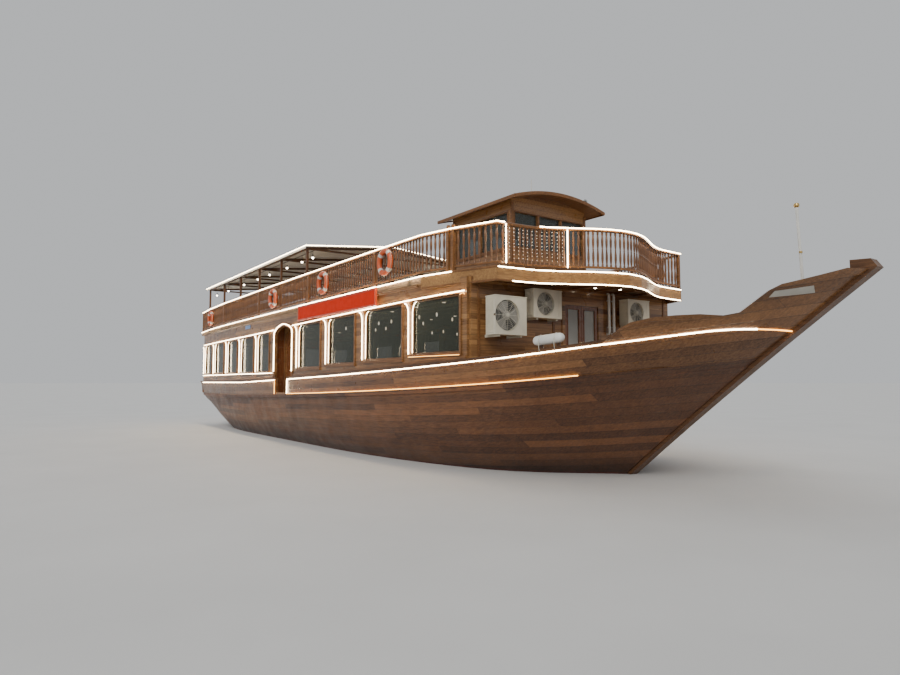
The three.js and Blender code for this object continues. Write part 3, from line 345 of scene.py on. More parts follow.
def soften(made, width):
    edges = made.modifiers.new("edges", "BEVEL")
    edges.width = width
    edges.segments = 2
    edges.limit_method = "ANGLE"
    edges.angle_limit = math.radians(40.0)


# Materials.
class Graph:
    """Short calls for the nodes of one material."""

    def __init__(self, name):
        self.material = bpy.data.materials.new(name)
        self.material.use_nodes = True
        tree = self.material.node_tree
        self.nodes = tree.nodes
        self.links = tree.links
        self.shader = tree.nodes["Principled BSDF"]
        self.place = self.add("TexCoord").outputs["Object"]
        split = self.add("SeparateXYZ")
        self.link(self.place, split.inputs[0])
        self.axes = dict(zip("XYZ", split.outputs))

    def add(self, kind):
        return self.nodes.new("ShaderNode" + kind)

    def link(self, source, target):
        self.links.new(source, target)

    def feed(self, target, value):
        if isinstance(value, bpy.types.NodeSocket):
            self.link(value, target)
        else:
            target.default_value = value

    def calc(self, operation, first, second=0.0, third=0.0):
        node = self.add("Math")
        node.operation = operation
        for target, value in zip(node.inputs, (first, second, third)):
            self.feed(target, value)
        return node.outputs[0]

    def times(self, first, second):
        return self.calc("MULTIPLY", first, second)

    def plus(self, first, second):
        return self.calc("ADD", first, second)

    def noise(self, scale, detail=4.0, stretch=(1, 1, 1), rough=0.6, bend=0.0):
        mapping = self.add("Mapping")
        mapping.inputs["Scale"].default_value = stretch
        self.link(self.place, mapping.inputs["Vector"])
        node = self.add("TexNoise")
        self.link(mapping.outputs[0], node.inputs["Vector"])
        for name, value in (("Scale", scale), ("Detail", detail), ("Roughness", rough), ("Distortion", bend)):
            node.inputs[name].default_value = value
        return node.outputs["Fac"]

    def ramp(self, value, stops):
        node = self.add("ValToRGB")
        band = node.color_ramp
        while len(band.elements) < len(stops):
            band.elements.new(0.5)
        for element, (position, colour) in zip(band.elements, stops):
            element.position = position
            element.color = (*colour, 1.0)
        self.link(value, node.inputs[0])
        return node.outputs[0]

    def spread(self, value, low, high, start=0.0, end=1.0):
        node = self.add("MapRange")
        self.feed(node.inputs[0], value)
        for index, number in enumerate((low, high, start, end)):
            node.inputs[index + 1].default_value = number
        return node.outputs[0]

    def mixed(self, share, first, second):
        node = self.add("Mix")
        node.data_type = "RGBA"
        for target, value in zip((node.inputs[0], node.inputs[6], node.inputs[7]), (share, first, second)):
            self.feed(target, value)
        return node.outputs[2]

    def darkened(self, colour, share):
        node = self.add("VectorMath")
        node.operation = "SCALE"
        self.link(colour, node.inputs[0])
        self.feed(node.inputs["Scale"], share)
        return node.outputs[0]

    def boards(self, across, width, along, length):
        """Tone of each board, and its seams: 0 in a seam, 1 on the face."""
        row = self.calc("DIVIDE", across, width)
        number = self.calc("FLOOR", row)
        shift = self.times(self.calc("FRACT", self.times(number, 0.618)), length)
        place = self.calc("DIVIDE", self.plus(along, shift), length)
        seams = []
        for value, size, gap in ((row, width, 0.005), (place, length, 0.004)):
            off_middle = self.calc("ABSOLUTE", self.calc("SUBTRACT", self.calc("FRACT", value), 0.5))
            near = self.calc("SUBTRACT", 0.5, off_middle)
            seams.append(self.spread(self.times(near, size), 0.001, gap))
        one = self.add("TexWhiteNoise")
        one.noise_dimensions = "1D"
        self.link(self.plus(self.times(number, 7.31), self.calc("FLOOR", place)), one.inputs["W"])
        return one.outputs["Value"], self.times(*seams)

    def wood(self, dark, light, along="X", boards=None):
        """Colour and height of a wooden surface. boards is (across, width, along, length)."""
        stretch = [26.0, 26.0, 26.0]
        stretch["XYZ".index(along)] = 1.1
        grain = self.noise(1.0, 8.0, stretch, 0.65, 0.7)
        shade = self.plus(self.times(grain, 0.75), self.times(self.noise(0.9, 3.0), 0.25))
        height = self.times(grain, 0.12)
        seam = None
        if boards:
            tone, seam = self.boards(*boards)
            shade = self.calc("MULTIPLY_ADD", self.calc("SUBTRACT", tone, 0.5), 0.28, shade)
            height = self.plus(height, seam)
        middle = tuple(mix(a, b, 0.42) for a, b in zip(dark, light))
        colour = self.ramp(shade, [(0.3, dark), (0.5, middle), (0.72, light)])
        if seam:
            colour = self.darkened(colour, self.spread(seam, 0.0, 1.0, 0.3, 1.0))
        return colour, height

    def bump(self, height, depth, strength=0.6):
        node = self.add("Bump")
        node.inputs["Distance"].default_value = depth
        node.inputs["Strength"].default_value = strength
        self.link(height, node.inputs["Height"])
        self.link(node.outputs[0], self.shader.inputs["Normal"])

    def done(self, colour, rough, **others):
        self.link(colour, self.shader.inputs["Base Color"])
        self.feed(self.shader.inputs["Roughness"], rough)
        for name, value in others.items():
            self.shader.inputs[name.replace("_", " ")].default_value = value
        return self.material


def varnished(name, dark, light, along="X", boards=None, rough=(0.24, 0.42), coat=0.35, depth=0.003):
    g = Graph(name)
    colour, height = g.wood(dark, light, along, boards and boards(g))
    g.bump(height, depth)
    gloss = g.spread(g.noise(2.3, 5.0), 0.3, 0.7, *rough)
    return g.done(colour, gloss, Coat_Weight=coat, Coat_Roughness=0.12, Specular_IOR_Level=0.3)


def flat_boards(across, width, along, length):
    return lambda g: (g.axes[across], width, g.axes[along], length)


def sheer_height(g):
    """Height under the cap rail's line, so planks follow the sheer."""
    run = g.calc("MAXIMUM", g.plus(g.axes["X"], 7.0), 0.0)
    square = g.times(run, run)
    line = g.calc("MULTIPLY_ADD", run, 0.022, g.times(g.times(square, square), 2.23e-6))
    bow_run = g.calc("MAXIMUM", g.calc("SUBTRACT", g.axes["X"], 9.0), 0.0)
    line = g.calc("MULTIPLY_ADD", g.times(bow_run, bow_run), 0.0105, line)
    return g.calc("SUBTRACT", g.axes["Z"], line)


HULL_WOOD = ((0.056, 0.020, 0.008), (0.225, 0.088, 0.030))
DECK_WOOD = ((0.165, 0.095, 0.048), (0.430, 0.285, 0.165))
GOLD_WOOD = ((0.115, 0.048, 0.017), (0.420, 0.215, 0.080))


def hull_material():
    """Planks outside, deck boards on what faces up, and bottom paint under the waterline."""
    g = Graph("hull_planks")
    planks, plank_relief = g.wood(*HULL_WOOD, "X", (sheer_height(g), 0.155, g.axes["X"], 6.4))
    deck, deck_relief = g.wood(*DECK_WOOD, "X", (g.axes["Y"], 0.11, g.axes["X"], 4.2))
    split = g.add("SeparateXYZ")
    g.link(g.add("NewGeometry").outputs["Normal"], split.inputs[0])
    upward = g.calc("GREATER_THAN", split.outputs[2], 0.9)
    ragged = g.calc("MULTIPLY_ADD", g.noise(1.6, 5.0), 0.12, g.axes["Z"])
    above = g.spread(ragged, 0.085, 0.115)
    patchy = g.ramp(g.noise(3.5, 6.0), [(0.3, (0.055, 0.012, 0.008)), (0.7, (0.125, 0.030, 0.018))])
    sides = g.mixed(above, patchy, g.darkened(planks, g.spread(ragged, 0.1, 0.75, 0.45, 1.0)))
    g.bump(g.mixed(upward, plank_relief, deck_relief), 0.004)
    worn = g.spread(g.noise(2.0, 5.0), 0.3, 0.7, 0.36, 0.56)
    gloss = g.calc("MULTIPLY_ADD", upward, 0.2, worn)
    return g.done(g.mixed(upward, sides, deck), gloss, Coat_Weight=0.1, Coat_Roughness=0.2)


def painted(name, colour, rough=0.4, metal=0.0, change=0.12, coat=0.0, **others):
    g = Graph(name)
    low = tuple(part * (1 - change) for part in colour)
    high = tuple(min(part * (1 + change), 1.0) for part in colour)
    g.bump(g.noise(160.0, 3.0), 0.0006, 0.4)
    tint = g.ramp(g.noise(3.0, 6.0), [(0.3, low), (0.7, high)])
    gloss = g.spread(g.noise(9.0, 4.0), 0.3, 0.7, rough * 0.8, rough * 1.25)
    return g.done(tint, gloss, Metallic=metal, Coat_Weight=coat, **others)


def cloth(name, dark, light, scale, sheen=0.25):
    g = Graph(name)
    waves = []
    for turn in (0.0, math.pi / 2):
        mapping = g.add("Mapping")
        mapping.inputs["Rotation"].default_value = (0.0, 0.0, turn)
        g.link(g.place, mapping.inputs["Vector"])
        wave = g.add("TexWave")
        wave.inputs["Scale"].default_value = scale
        wave.inputs["Distortion"].default_value = 0.6
        g.link(mapping.outputs[0], wave.inputs["Vector"])
        waves.append(wave.outputs["Fac"])
    weave = g.times(*waves)
    stain = g.noise(0.7, 6.0)
    tint = g.ramp(g.calc("MULTIPLY_ADD", weave, 0.15, stain), [(0.35, dark), (0.75, light)])
    g.bump(g.calc("MULTIPLY_ADD", g.noise(5.0, 4.0), 2.0, weave), 0.002, 0.5)
    return g.done(tint, g.spread(stain, 0.3, 0.7, 0.75, 0.92), Sheen_Weight=sheen)


def window_glass(name, tint, opacity):
    g = Graph(name)
    dust = g.noise(1.7, 5.0)
    g.bump(g.noise(0.8, 2.0), 0.02, 0.25)
    colour = g.ramp(dust, [(0.3, tuple(part * 0.8 for part in tint)), (0.7, tint)])
    return g.done(
        colour, g.spread(dust, 0.4, 0.8, 0.03, 0.09),
        Alpha=opacity, IOR=1.5, Specular_IOR_Level=0.35, Coat_Weight=0.1, Coat_Roughness=0.03,
    )


def light_strip(name, cool, warm, strength):
    """Frosted strip whose diodes show as a slow change of warmth along it."""
    g = Graph(name)
    change = g.noise(5.0, 2.0)
    tint = g.ramp(change, [(0.35, cool), (0.65, warm)])
    g.link(tint, g.shader.inputs["Emission Color"])
    g.bump(g.noise(60.0, 2.0), 0.001, 0.3)
    return g.done(tint, g.spread(change, 0.3, 0.7, 0.4, 0.6), Emission_Strength=strength)


def timber_look(name, dark, light, along, rough, coat):
    return varnished(name, dark, light, along, rough=rough, coat=coat)


hull_planks = hull_material()
bulwark_planks = varnished(
    "bulwark_planks", (0.075, 0.030, 0.012), (0.290, 0.135, 0.050), "X",
    lambda g: (sheer_height(g), 0.135, g.axes["X"], 5.6),
)
timber = timber_look("oiled_timber", (0.045, 0.019, 0.009), (0.190, 0.088, 0.036), "X", (0.35, 0.55), 0.1)
post_timber = timber_look("post_timber", (0.055, 0.022, 0.010), (0.225, 0.100, 0.040), "Z", (0.3, 0.5), 0.15)
fascia_wood = timber_look("fascia_wood", (0.15, 0.068, 0.022), (0.520, 0.285, 0.105), "Y", (0.26, 0.42), 0.15)
trim_wood = timber_look("trim_wood", (0.090, 0.036, 0.013), (0.330, 0.150, 0.052), "X", (0.26, 0.42), 0.15)
turned_wood = timber_look("turned_wood", (0.07, 0.028, 0.011), (0.285, 0.125, 0.045), "Z", (0.25, 0.42), 0.35)
door_wood = timber_look("door_wood", (0.085, 0.026, 0.010), (0.300, 0.110, 0.038), "Z", (0.2, 0.36), 0.45)
wall_boards = varnished("wall_boards", *GOLD_WOOD, "X", flat_boards("Z", 0.118, "X", 3.1), depth=0.0025)
front_boards = varnished("front_boards", *GOLD_WOOD, "Y", flat_boards("Z", 0.118, "Y", 2.3), depth=0.0025)
deck_boards = varnished("deck_boards", *DECK_WOOD, "X", flat_boards("Y", 0.11, "X", 4.2), (0.5, 0.72), 0.0)
white_paint = painted("white_paint", (0.72, 0.71, 0.66), 0.38, coat=0.2)
cream_paint = painted("cream_casing", (0.66, 0.61, 0.48), 0.42, change=0.1)
dark_plastic = painted("dark_plastic", (0.030, 0.030, 0.032), 0.5, change=0.3)
fan_plastic = painted("fan_plastic", (0.27, 0.26, 0.235), 0.45, change=0.2)
guard_paint = painted("guard_paint", (0.52, 0.49, 0.40), 0.45, change=0.1)
grey_plate = painted("grey_plate", (0.42, 0.40, 0.35), 0.45)
sign_paint = painted("sign_paint", (0.66, 0.070, 0.016), 0.3, coat=0.4, change=0.16)
ring_orange = painted("ring_orange", (0.66, 0.105, 0.020), 0.45, coat=0.2)
iron = painted("black_iron", (0.050, 0.046, 0.043), 0.5, 0.9, 0.3)
steel = painted("bright_steel", (0.60, 0.60, 0.58), 0.24, 1.0, 0.08)
brass = painted("brass_fittings", (0.62, 0.42, 0.16), 0.24, 1.0, 0.15)
bronze = painted("cast_bronze", (0.46, 0.29, 0.12), 0.34, 1.0, 0.22)
sign_glow = painted(
    "sign_glow", (0.46, 0.016, 0.002), 0.5, change=0.10,
    Emission_Color=(1.0, 0.05, 0.0, 1.0), Emission_Strength=0.22, Specular_IOR_Level=0.08,
)
blue_plate = painted("blue_plate", (0.20, 0.34, 0.62), 0.4, change=0.1)
rope = cloth("rope_fibre", (0.40, 0.36, 0.28), (0.66, 0.62, 0.52), 90.0)
canvas = cloth("canopy_cloth", (0.58, 0.56, 0.49), (0.80, 0.78, 0.71), 55.0)
cushion_cloth = cloth("cushion_cloth", (0.115, 0.022, 0.016), (0.300, 0.062, 0.042), 70.0, 0.5)
side_glass = window_glass("tinted_glass", (0.050, 0.055, 0.036), 0.56)
clear_glass = window_glass("clear_glass", (0.085, 0.100, 0.095), 0.50)
pale_glass = window_glass("pale_glass", (0.40, 0.40, 0.37), 0.85)
strip_light = light_strip("strip_light", (1.0, 0.86, 0.62), (1.0, 0.76, 0.46), 24.0)
amber_light = light_strip("amber_light", (1.0, 0.52, 0.12), (1.0, 0.42, 0.07), 6.0)
bulb_light = light_strip("bulb_light", (1.0, 0.90, 0.74), (1.0, 0.82, 0.58), 18.0)
spark_light = light_strip("spark_light", (1.0, 0.90, 0.74), (1.0, 0.80, 0.52), 3.0)

# Slots, each with the materials listed under it, and each material's slot by its name. Materials that are not
# listed have no slot.
SLOTS = {
    "dark_planking": (hull_planks, bulwark_planks), "dark_timber": (timber, post_timber),
    "varnished_wood": (wall_boards, front_boards, fascia_wood, trim_wood, turned_wood),
    "deck_planking": (deck_boards,), "sign_paint": (sign_glow,), "white_fabric": (canvas,),
    "cushion_cover": (cushion_cloth,), "tinted_glass": (side_glass, clear_glass, pale_glass),
    "bronze": (bronze,),
}
slot_of = {material.name: slot for slot, materials in SLOTS.items() for material in materials}

# Materials and edge softening of the solids that stay.
FINISHES = {
    "hull": (hull_planks, 0), "bulwark_": (bulwark_planks, 0.006), "keel_and_stem": (timber, 0.012),
    "saloon_side_": (wall_boards, 0.003), "entrance_porch_": (wall_boards, 0.003),
    "saloon_front_wall": (front_boards, 0.003), "saloon_stern_wall": (front_boards, 0.003),
    "saloon_glass_": (side_glass, 0), "saloon_stern_glass": (side_glass, 0),
    "deck_fascia": (fascia_wood, 0.004), "upper_deck": (deck_boards, 0.004),
    "companion_stair": (deck_boards, 0.004), "canopy_posts_": (post_timber, 0.006),
    "canopy_rafters": (timber, 0.004), "wheelhouse_roof": (trim_wood, 0.006),
    "wheelhouse_walls": (wall_boards, 0.003), "wheelhouse_glass": (clear_glass, 0),
    "wheelhouse_door": (door_wood, 0.003), "helm_console": (door_wood, 0.006),
    "helm_wheel": (turned_wood, 0.002),
    "cooler_": (cream_paint, 0.012), "rudder": (timber, 0.01), "propeller": (bronze, 0),
    "mooring_bitts": (timber, 0.012), "bow_staff": (white_paint, 0), "searchlight": (white_paint, 0.003),
    "antenna": (white_paint, 0), "front_door_": (door_wood, 0.003), "entrance_leaf_": (door_wood, 0.003),
    "sign_board_": (sign_paint, 0.006),
}
for name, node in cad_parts.items():
    material, edge = next((value for start, value in FINISHES.items() if name.startswith(start)), (None, 0))
    if material:
        node.data.materials.clear()
        node.data.materials.append(material)
    if edge:
        soften(node, edge)

# Planes that many pieces stand on, and sizes that repeat.
LED, LED_OUT = 0.013, 0.015
DECK_FOOT, RAIL_LIGHT, DECK_LIGHT, SOFFIT = 4.681, 5.665, 4.655, 4.4995
FRONT_WALL, STERN_WALL = 8.3695, -14.4495
GATE = (-3.01, -1.78)


# Light strips, and a wale moulding that glows with painted light.
def under_cap(x):
    return cap_height(x) - 0.048


hull_lights, bow_lights, wale_glow, deck_lights, canopy_lights = shape_sets(5)
gate_to_bow = [shell_point(under_cap, x=x) for x in (GATE[1], -1.3)] + bulwark_line(bow_drop, 0, 0.975)
hull_lights.tube(moved_out(gate_to_bow, LED_OUT), LED)
aft_stops = [-14.3, -13.4, -12.5, -11.5, -10.5, -9.5, -8.5, -7.0, -5.5, -4.0, GATE[0]]
hull_lights.tube([(x, -(breadth(x) + LED_OUT), under_cap(x)) for x in aft_stops], LED)
for x, shapes in zip(GATE, (bow_lights, hull_lights)):
    shapes.tube([(x, -(breadth(x) + LED_OUT), z) for z in (under_cap(x), deck_height(x) + 0.02)], LED)
hull_lights.piece("light_strips_hull", strip_light, mirrored=True)
bow_lights.tube(moved_out(bulwark_line(bow_drop, 0.975, 1), LED_OUT), LED)
bow_lights.piece("light_strips_bow", amber_light, mirrored=True)

# The tube along the wale glows dim amber: a moulding with painted light, standing for the glow a hidden strip
# throws on it.
wale_end = 0.85
wale_places = [{"x": x} for x in (GATE[1], -1.3)]
wale_places += [{"reach": reach} for reach in [*(reach for reach in REACHES if reach < wale_end), wale_end]]
wale_line = [shell_point(lambda x: deck_height(x) + 0.012, **place) for place in wale_places]
wale_glow.tube(moved_out(wale_line, 0.045), 0.011)
wale_glow.piece("light_strips_wale", amber_light, mirrored=True)


def led_on(path, z):
    deck_lights.tube([(x, y, z) for x, y in offset_path(path, -LED)], LED)


SIGN = {"aft": -0.67, "fore": 4.70, "low": 4.15, "high": 4.64, "out": 0.0403}
sign_stops = [SIGN["aft"], 0.0, 4.5, SIGN["fore"]]
before_sign, past_sign = SIGN["aft"] - 0.02, SIGN["fore"] + 0.02
rail_path = [(-14.66, -3.576)] + [point for point in side_path if point[0] > -14.7]
led_on([*rail_path, (9.015, -3.05)], RAIL_LIGHT)
aft_path = [point for point in side_path if point[0] < -1.5]
led_on([*aft_path, (before_sign, -deck_edge(before_sign))], DECK_LIGHT)
led_on(
    [(past_sign, -deck_edge(past_sign)), *(point for point in side_path if 5.0 < point[0] < 8.0)], DECK_LIGHT,
)
deck_lights.tube([(x, -(deck_edge(x) + 0.045), 4.656) for x in sign_stops], LED)
deck_lights.to_port()
led_on(front_path(-2.1, 3.0, OGEE_STEPS), RAIL_LIGHT)
led_on(front_path(-3.24, 3.24, CAD_STEPS), DECK_LIGHT)
led_on(front_path(-2.85, 3.2, CAD_STEPS), 4.36)
for y in (-3.05, -1.5):
    deck_lights.tube([(ogee_x(y) + LED, y, z) for z in (4.74, 5.62)], LED)
deck_lights.piece("light_strips_decks", strip_light)
canopy_lights.tube([(-14.45, -3.497, 6.885), (-1.285, -3.497, 6.885), (-1.285, 0.0, 7.235)], LED)
canopy_lights.piece("light_strips_canopy", strip_light, mirrored=True)

# Window frames, mullion lights and mouldings on the saloon. Each window is (aft, fore, sill, head).
WINDOWS = [
    (-14.15, -12.52, 2.52, 3.93), (-11.89, -10.14, 2.51, 3.93), (-9.47, -7.89, 2.50, 3.93),
    (-7.33, -5.59, 2.49, 3.935), (-5.11, -3.76, 2.495, 3.96), (-0.88, 0.91, 2.58, 4.04),
    (1.49, 3.27, 2.65, 4.065), (3.87, 5.78, 2.71, 4.10), (6.20, 8.05, 2.79, 4.13),
]
WALL_STOPS = [-14.38, -11.5, -8.5, -5.5, -4.0, -2.0, 0.0, 1.5, 3.0, 4.5, 5.5, 6.5, 7.4, 8.29]
cap_reaches = (0.1, 0.2, 0.3, 0.4, 0.48, 0.56, 0.6, 0.64, 0.68)
cap_points = [shell_point(cap_height, reach=reach) for reach in cap_reaches]
cap_table = [(0.0, 3.9), *((point.x, point.y) for point in cap_points)]
wall_table = [(x, (breadth(x) if x <= 0 else read_table(cap_table, x)) - 0.03) for x in WALL_STOPS]
head_table = [(fore, head + 0.045) for _, fore, _, head in WINDOWS]


def on_wall(x, z, out=0.0):
    """Point on the outside of the starboard wall, which is straight between its stations."""
    return Vector((x, -read_table(wall_table, x) - out, z))


def head_line(x):
    return read_table(head_table, max(x, WINDOWS[0][1]))


def wall_strip(shapes, start, end, height_at, out, radius):
    stops = [start, *(x for x in WALL_STOPS if start < x < end), end]
    shapes.tube([on_wall(x, height_at(x), out) for x in stops], radius)


PIER_FLARE = [(0.0, 0.27), (0.015, 0.19), (0.05, 0.11), (0.10, 0.06), (0.17, 0.035)]
frames, window_lights, faint_lights, mouldings, fascia_trim = shape_sets(5)
for aft, fore, sill, head in WINDOWS:
    for x in (aft - 0.035, fore + 0.035):
        frames.beam(on_wall(x, sill - 0.07), on_wall(x, head + 0.07), AHEAD, 0.07, OUT, 0.028)
    for z, depth, wide in ((sill - 0.04, 0.05, 0.08), (head + 0.035, 0.034, 0.07)):
        frames.beam(on_wall(aft - 0.08, z), on_wall(fore + 0.08, z), UP, wide, OUT, depth)
    for x in (aft + 0.02, fore - 0.02):
        frames.beam(on_wall(x, sill, -0.07), on_wall(x, head, -0.07), AHEAD, 0.04, OUT, 0.05)
    for z in (sill + 0.02, head - 0.02):
        frames.beam(on_wall(aft, z, -0.07), on_wall(fore, z, -0.07), UP, 0.04, OUT, 0.05)
    for toward, place, out, foot, radius in (
        (1, aft - 0.06, 0.05, 0.02, 0.011), (-1, aft + 0.03, -0.012, 0.05, 0.007),
    ):
        line = [(max(place - toward * shift, -14.35), head - drop) for shift, drop in PIER_FLARE]
        window_lights.tube([on_wall(x, z, out) for x, z in ((place, sill + foot), *line)], radius)
frames.piece("window_frames", trim_wood, edge=0.004, mirrored=True)
wall_strip(window_lights, -14.2, -3.2, head_line, 0.05, 0.012)
wall_strip(window_lights, -1.36, 8.27, lambda x: head_line(max(x, -0.88)), 0.05, 0.012)
wall_strip(window_lights, -14.2, -3.3, lambda x: 2.445, 0.058, 0.012)
window_lights.piece("light_strips_windows", strip_light, mirrored=True)
wall_strip(faint_lights, 6.15, 8.1, lambda x: 2.735, 0.056, 0.006)
curl = [(8.11, 4.10), (8.15, 4.125), (8.23, 4.13), (8.27, 4.095)]
faint_lights.tube([on_wall(x, z, 0.045) for x, z in curl], 0.007)
faint_lights.piece("light_strips_faint", amber_light, mirrored=True)

CORNICE = [
    (-0.002, 4.44), (-0.030, 4.455), (-0.034, 4.475), (-0.055, 4.487), (-0.055, 4.4975), (-0.002, 4.4975),
]
SKIRT = [(-0.02744, 0.04), (-0.02744, 0.10), (-0.01764, 0.115), (0.02, 0.115), (0.02, 0.04)]
mouldings.along([on_wall(x, 0.0).xy for x in WALL_STOPS if x < 6.8], CORNICE)
for start, end in ((-14.38, -3.26), (-1.30, 8.28)):
    stops = [start, *(x for x in WALL_STOPS if start < x < end), end]
    mouldings.skin([[on_wall(x, cap_height(x) + rise, -shift) for shift, rise in SKIRT] for x in stops])
mouldings.piece("saloon_mouldings", trim_wood, mirrored=True)

corner = [(6.9, -3.871), (7.85, -3.66), (9.0, -3.26)]
other_corner = [(x, -y) for x, y in reversed(corner)]
round_front = [*corner, *front_path(-OGEE_HALF, OGEE_HALF, CAD_STEPS), *other_corner]
for low, high in ((4.345, 4.385), (4.635, 4.672)):
    bead = [(0.0, low), (-0.010, low), (-0.014, (low + high) / 2), (-0.010, high), (0.0, high)]
    fascia_trim.along(round_front, bead)
fascia_trim.piece("fascia_mouldings", trim_wood)

# Balustrades with turned sticks, capped posts and moulded rails.
STICK = [
    (0.026, 0.0), (0.026, 0.05), (0.017, 0.065), (0.023, 0.10), (0.031, 0.19), (0.027, 0.30), (0.017, 0.385),
    (0.023, 0.40), (0.017, 0.415), (0.027, 0.50), (0.031, 0.60), (0.023, 0.70), (0.017, 0.735), (0.026, 0.75),
    (0.026, 0.82),
]
STICK_FOOT, STICK_PITCH, POST_HALF = 4.792, 0.14, 0.048
TOP_RAIL = [
    (0.012, 5.61), (0.004, 5.635), (0.010, 5.66), (0.026, 5.678), (0.050, 5.684), (0.074, 5.678),
    (0.090, 5.66), (0.096, 5.635), (0.088, 5.61),
]
LOW_RAIL = [(0.022, 4.745), (0.022, 4.787), (0.032, 4.796), (0.068, 4.796), (0.078, 4.787), (0.078, 4.745)]
POST_CAP = [(0.05, 5.69), (0.056, 5.705), (0.046, 5.72), (0.052, 5.74), (0.040, 5.765), (0.014, 5.778)]


def square_post(shapes, x, y, half, low, high):
    shapes.box((x - half, y - half, low), (x + half, y + half, high))


def balustrade(name, path):
    """Rails and posts in one piece and sticks in another. They stand for the plain node."""
    rails, sticks = shape_sets(2)
    rails.along(path, TOP_RAIL)
    rails.along(path, LOW_RAIL)
    middle = offset_path(path, 0.05)
    for x, y in (middle[0], middle[-1]):
        for low, high, grow in ((DECK_FOOT, 4.82, 0.006), (4.82, 5.60, 0.0), (5.60, 5.69, 0.006)):
            square_post(rails, x, y, POST_HALF + grow, low, high)
        rails.lathe(POST_CAP, (x, y, 0.0))
    for index, (x, y) in enumerate(middle[:-1]):
        x1, y1 = middle[index + 1]
        length = math.hypot(x1 - x, y1 - y)
        count = max(round(length / STICK_PITCH), 1)
        for step in range(count):
            if step == 0 and index > 0 and length > 0.9:
                square_post(rails, x, y, 0.038, DECK_FOOT, 5.62)
            elif step > 0 or index > 0:
                share = step / count
                sticks.lathe(STICK, (mix(x, x1, share), mix(y, y1, share), STICK_FOOT), sides=8)
    rail = rails.piece(name + "_rails", trim_wood, edge=0.003)
    sticks.piece(name + "_sticks", turned_wood)
    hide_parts(name)


side_rail = [*(point for point in rail_path if point[0] < 7.0), (7.70, -3.694)]
for side, flip in (("starboard", 1), ("port", -1)):
    for name, path in (("balustrade_", side_rail), ("stair_guard_", [(-5.4, -0.57), (-2.56, -0.57)])):
        balustrade(name + side, [(x, y * flip) for x, y in path][::flip])
front_rail = [*corner[1:], *front_path(-OGEE_HALF, OGEE_HALF, OGEE_STEPS), *other_corner[:-1]]
balustrade("balustrade_front", front_rail)
balustrade("balustrade_stern", [(-14.85, y) for y in (3.34, 1.12, -1.12, -3.34)])
balustrade("stair_guard_aft", [(-5.4, 0.42), (-5.4, -0.42)])

# Life rings with bands and a grab line.
RINGS = [(-12.25, 5.18), (-3.15, 5.17), (1.3, 5.19), (5.2, 5.25)]
RING_REACH = 0.295
ring_bodies, ring_bands, ring_lines = shape_sets(3)
for x, z in RINGS:
    centre = Vector((x, -deck_edge(x) - 0.05, z))
    ring_bodies.tube(arc(centre, AHEAD, UP, RING_REACH, 40), 0.068, 14, loop=True)
    for quarter in range(4):
        middle = math.pi / 4 + quarter * math.pi / 2
        band = arc(centre, AHEAD, UP, RING_REACH, 6, middle - 0.16, middle + 0.16, open_end=False)
        ring_bands.tube(band, 0.071, 14)
        line = []
        for step in range(13):
            reach = 0.372 - 0.012 * math.sin(math.pi * step / 12)
            turn = middle + math.pi / 2 * step / 12
            line.append(centre + Vector((math.cos(turn) * reach, -0.012, math.sin(turn) * reach)))
        ring_lines.tube(line, 0.0065, 6)
ring_bodies.piece("life_rings", ring_orange, mirrored=True)
ring_bands.piece("life_ring_bands", white_paint, mirrored=True)
ring_lines.piece("life_ring_lines", rope, mirrored=True)

# Canopy: one stretched sheet over six trusses, with hems and seams.
CANOPY = {"aft": -14.45, "fore": -1.3, "half": 3.475, "flat": (13.15, 7.14)}
TRUSS_X = [-14.2, -11.66, -9.12, -6.58, -4.04, -1.5]


def steps_between(low, high, count):
    return [mix(low, high, step / count) for step in range(count + 1)]


def canopy_height(x, y):
    pitch = 7.202 - 0.0994 * abs(y) + 0.02 * math.exp(-(y / 0.35) ** 2)
    sag = 0.0
    for aft, fore in zip(TRUSS_X, TRUSS_X[1:]):
        if aft <= x <= fore:
            sag = 0.026 * math.sin(math.pi * (x - aft) / (fore - aft)) ** 2
    return pitch - sag * (1 - (abs(y) / 3.48) ** 4)


sheet, canopy_seams, lamps, lamp_glow = shape_sets(4)
rows = []
for x in steps_between(CANOPY["aft"], CANOPY["fore"], 100):
    edge_z = canopy_height(x, CANOPY["half"])
    skirt = edge_z - 0.075 + 0.008 * math.sin((x + 14.45) * 4.78) ** 2
    hem = [(x, 3.484, skirt), (x, 3.483, mix(skirt, edge_z, 0.5))]
    top = [(x, y, canopy_height(x, y)) for y in steps_between(-CANOPY["half"], CANOPY["half"], 40)]
    rows.append([*((x, -y, z) for x, y, z in hem), *top, *hem[::-1]])
sheet.skin(rows, closed=False, ends=False)
canopy = sheet.piece("canopy_sheet", canvas, smooth=60.0)
thick = canopy.modifiers.new("cloth", "SOLIDIFY")
thick.thickness = 0.003
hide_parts("canopy_roof")

for seam in (-12.93, -10.39, -7.85, -5.31, -2.77):
    for x in (seam - 0.018, seam + 0.018):
        line = [(x, y, canopy_height(x, y) + 0.003) for y in steps_between(-3.47, 3.47, 24)]
        canopy_seams.tube(line, 0.0045, 6)
for y in (-3.477, 3.477):
    line = [(x, y, canopy_height(x, y) + 0.002) for x in steps_between(CANOPY["aft"], CANOPY["fore"], 60)]
    canopy_seams.tube(line, 0.007, 6)
for x in (CANOPY["aft"], CANOPY["fore"]):
    canopy_seams.tube([(x, y, canopy_height(x, y)) for y in steps_between(-3.47, 3.47, 24)], 0.009, 6)
canopy_seams.piece("canopy_seams", canvas)

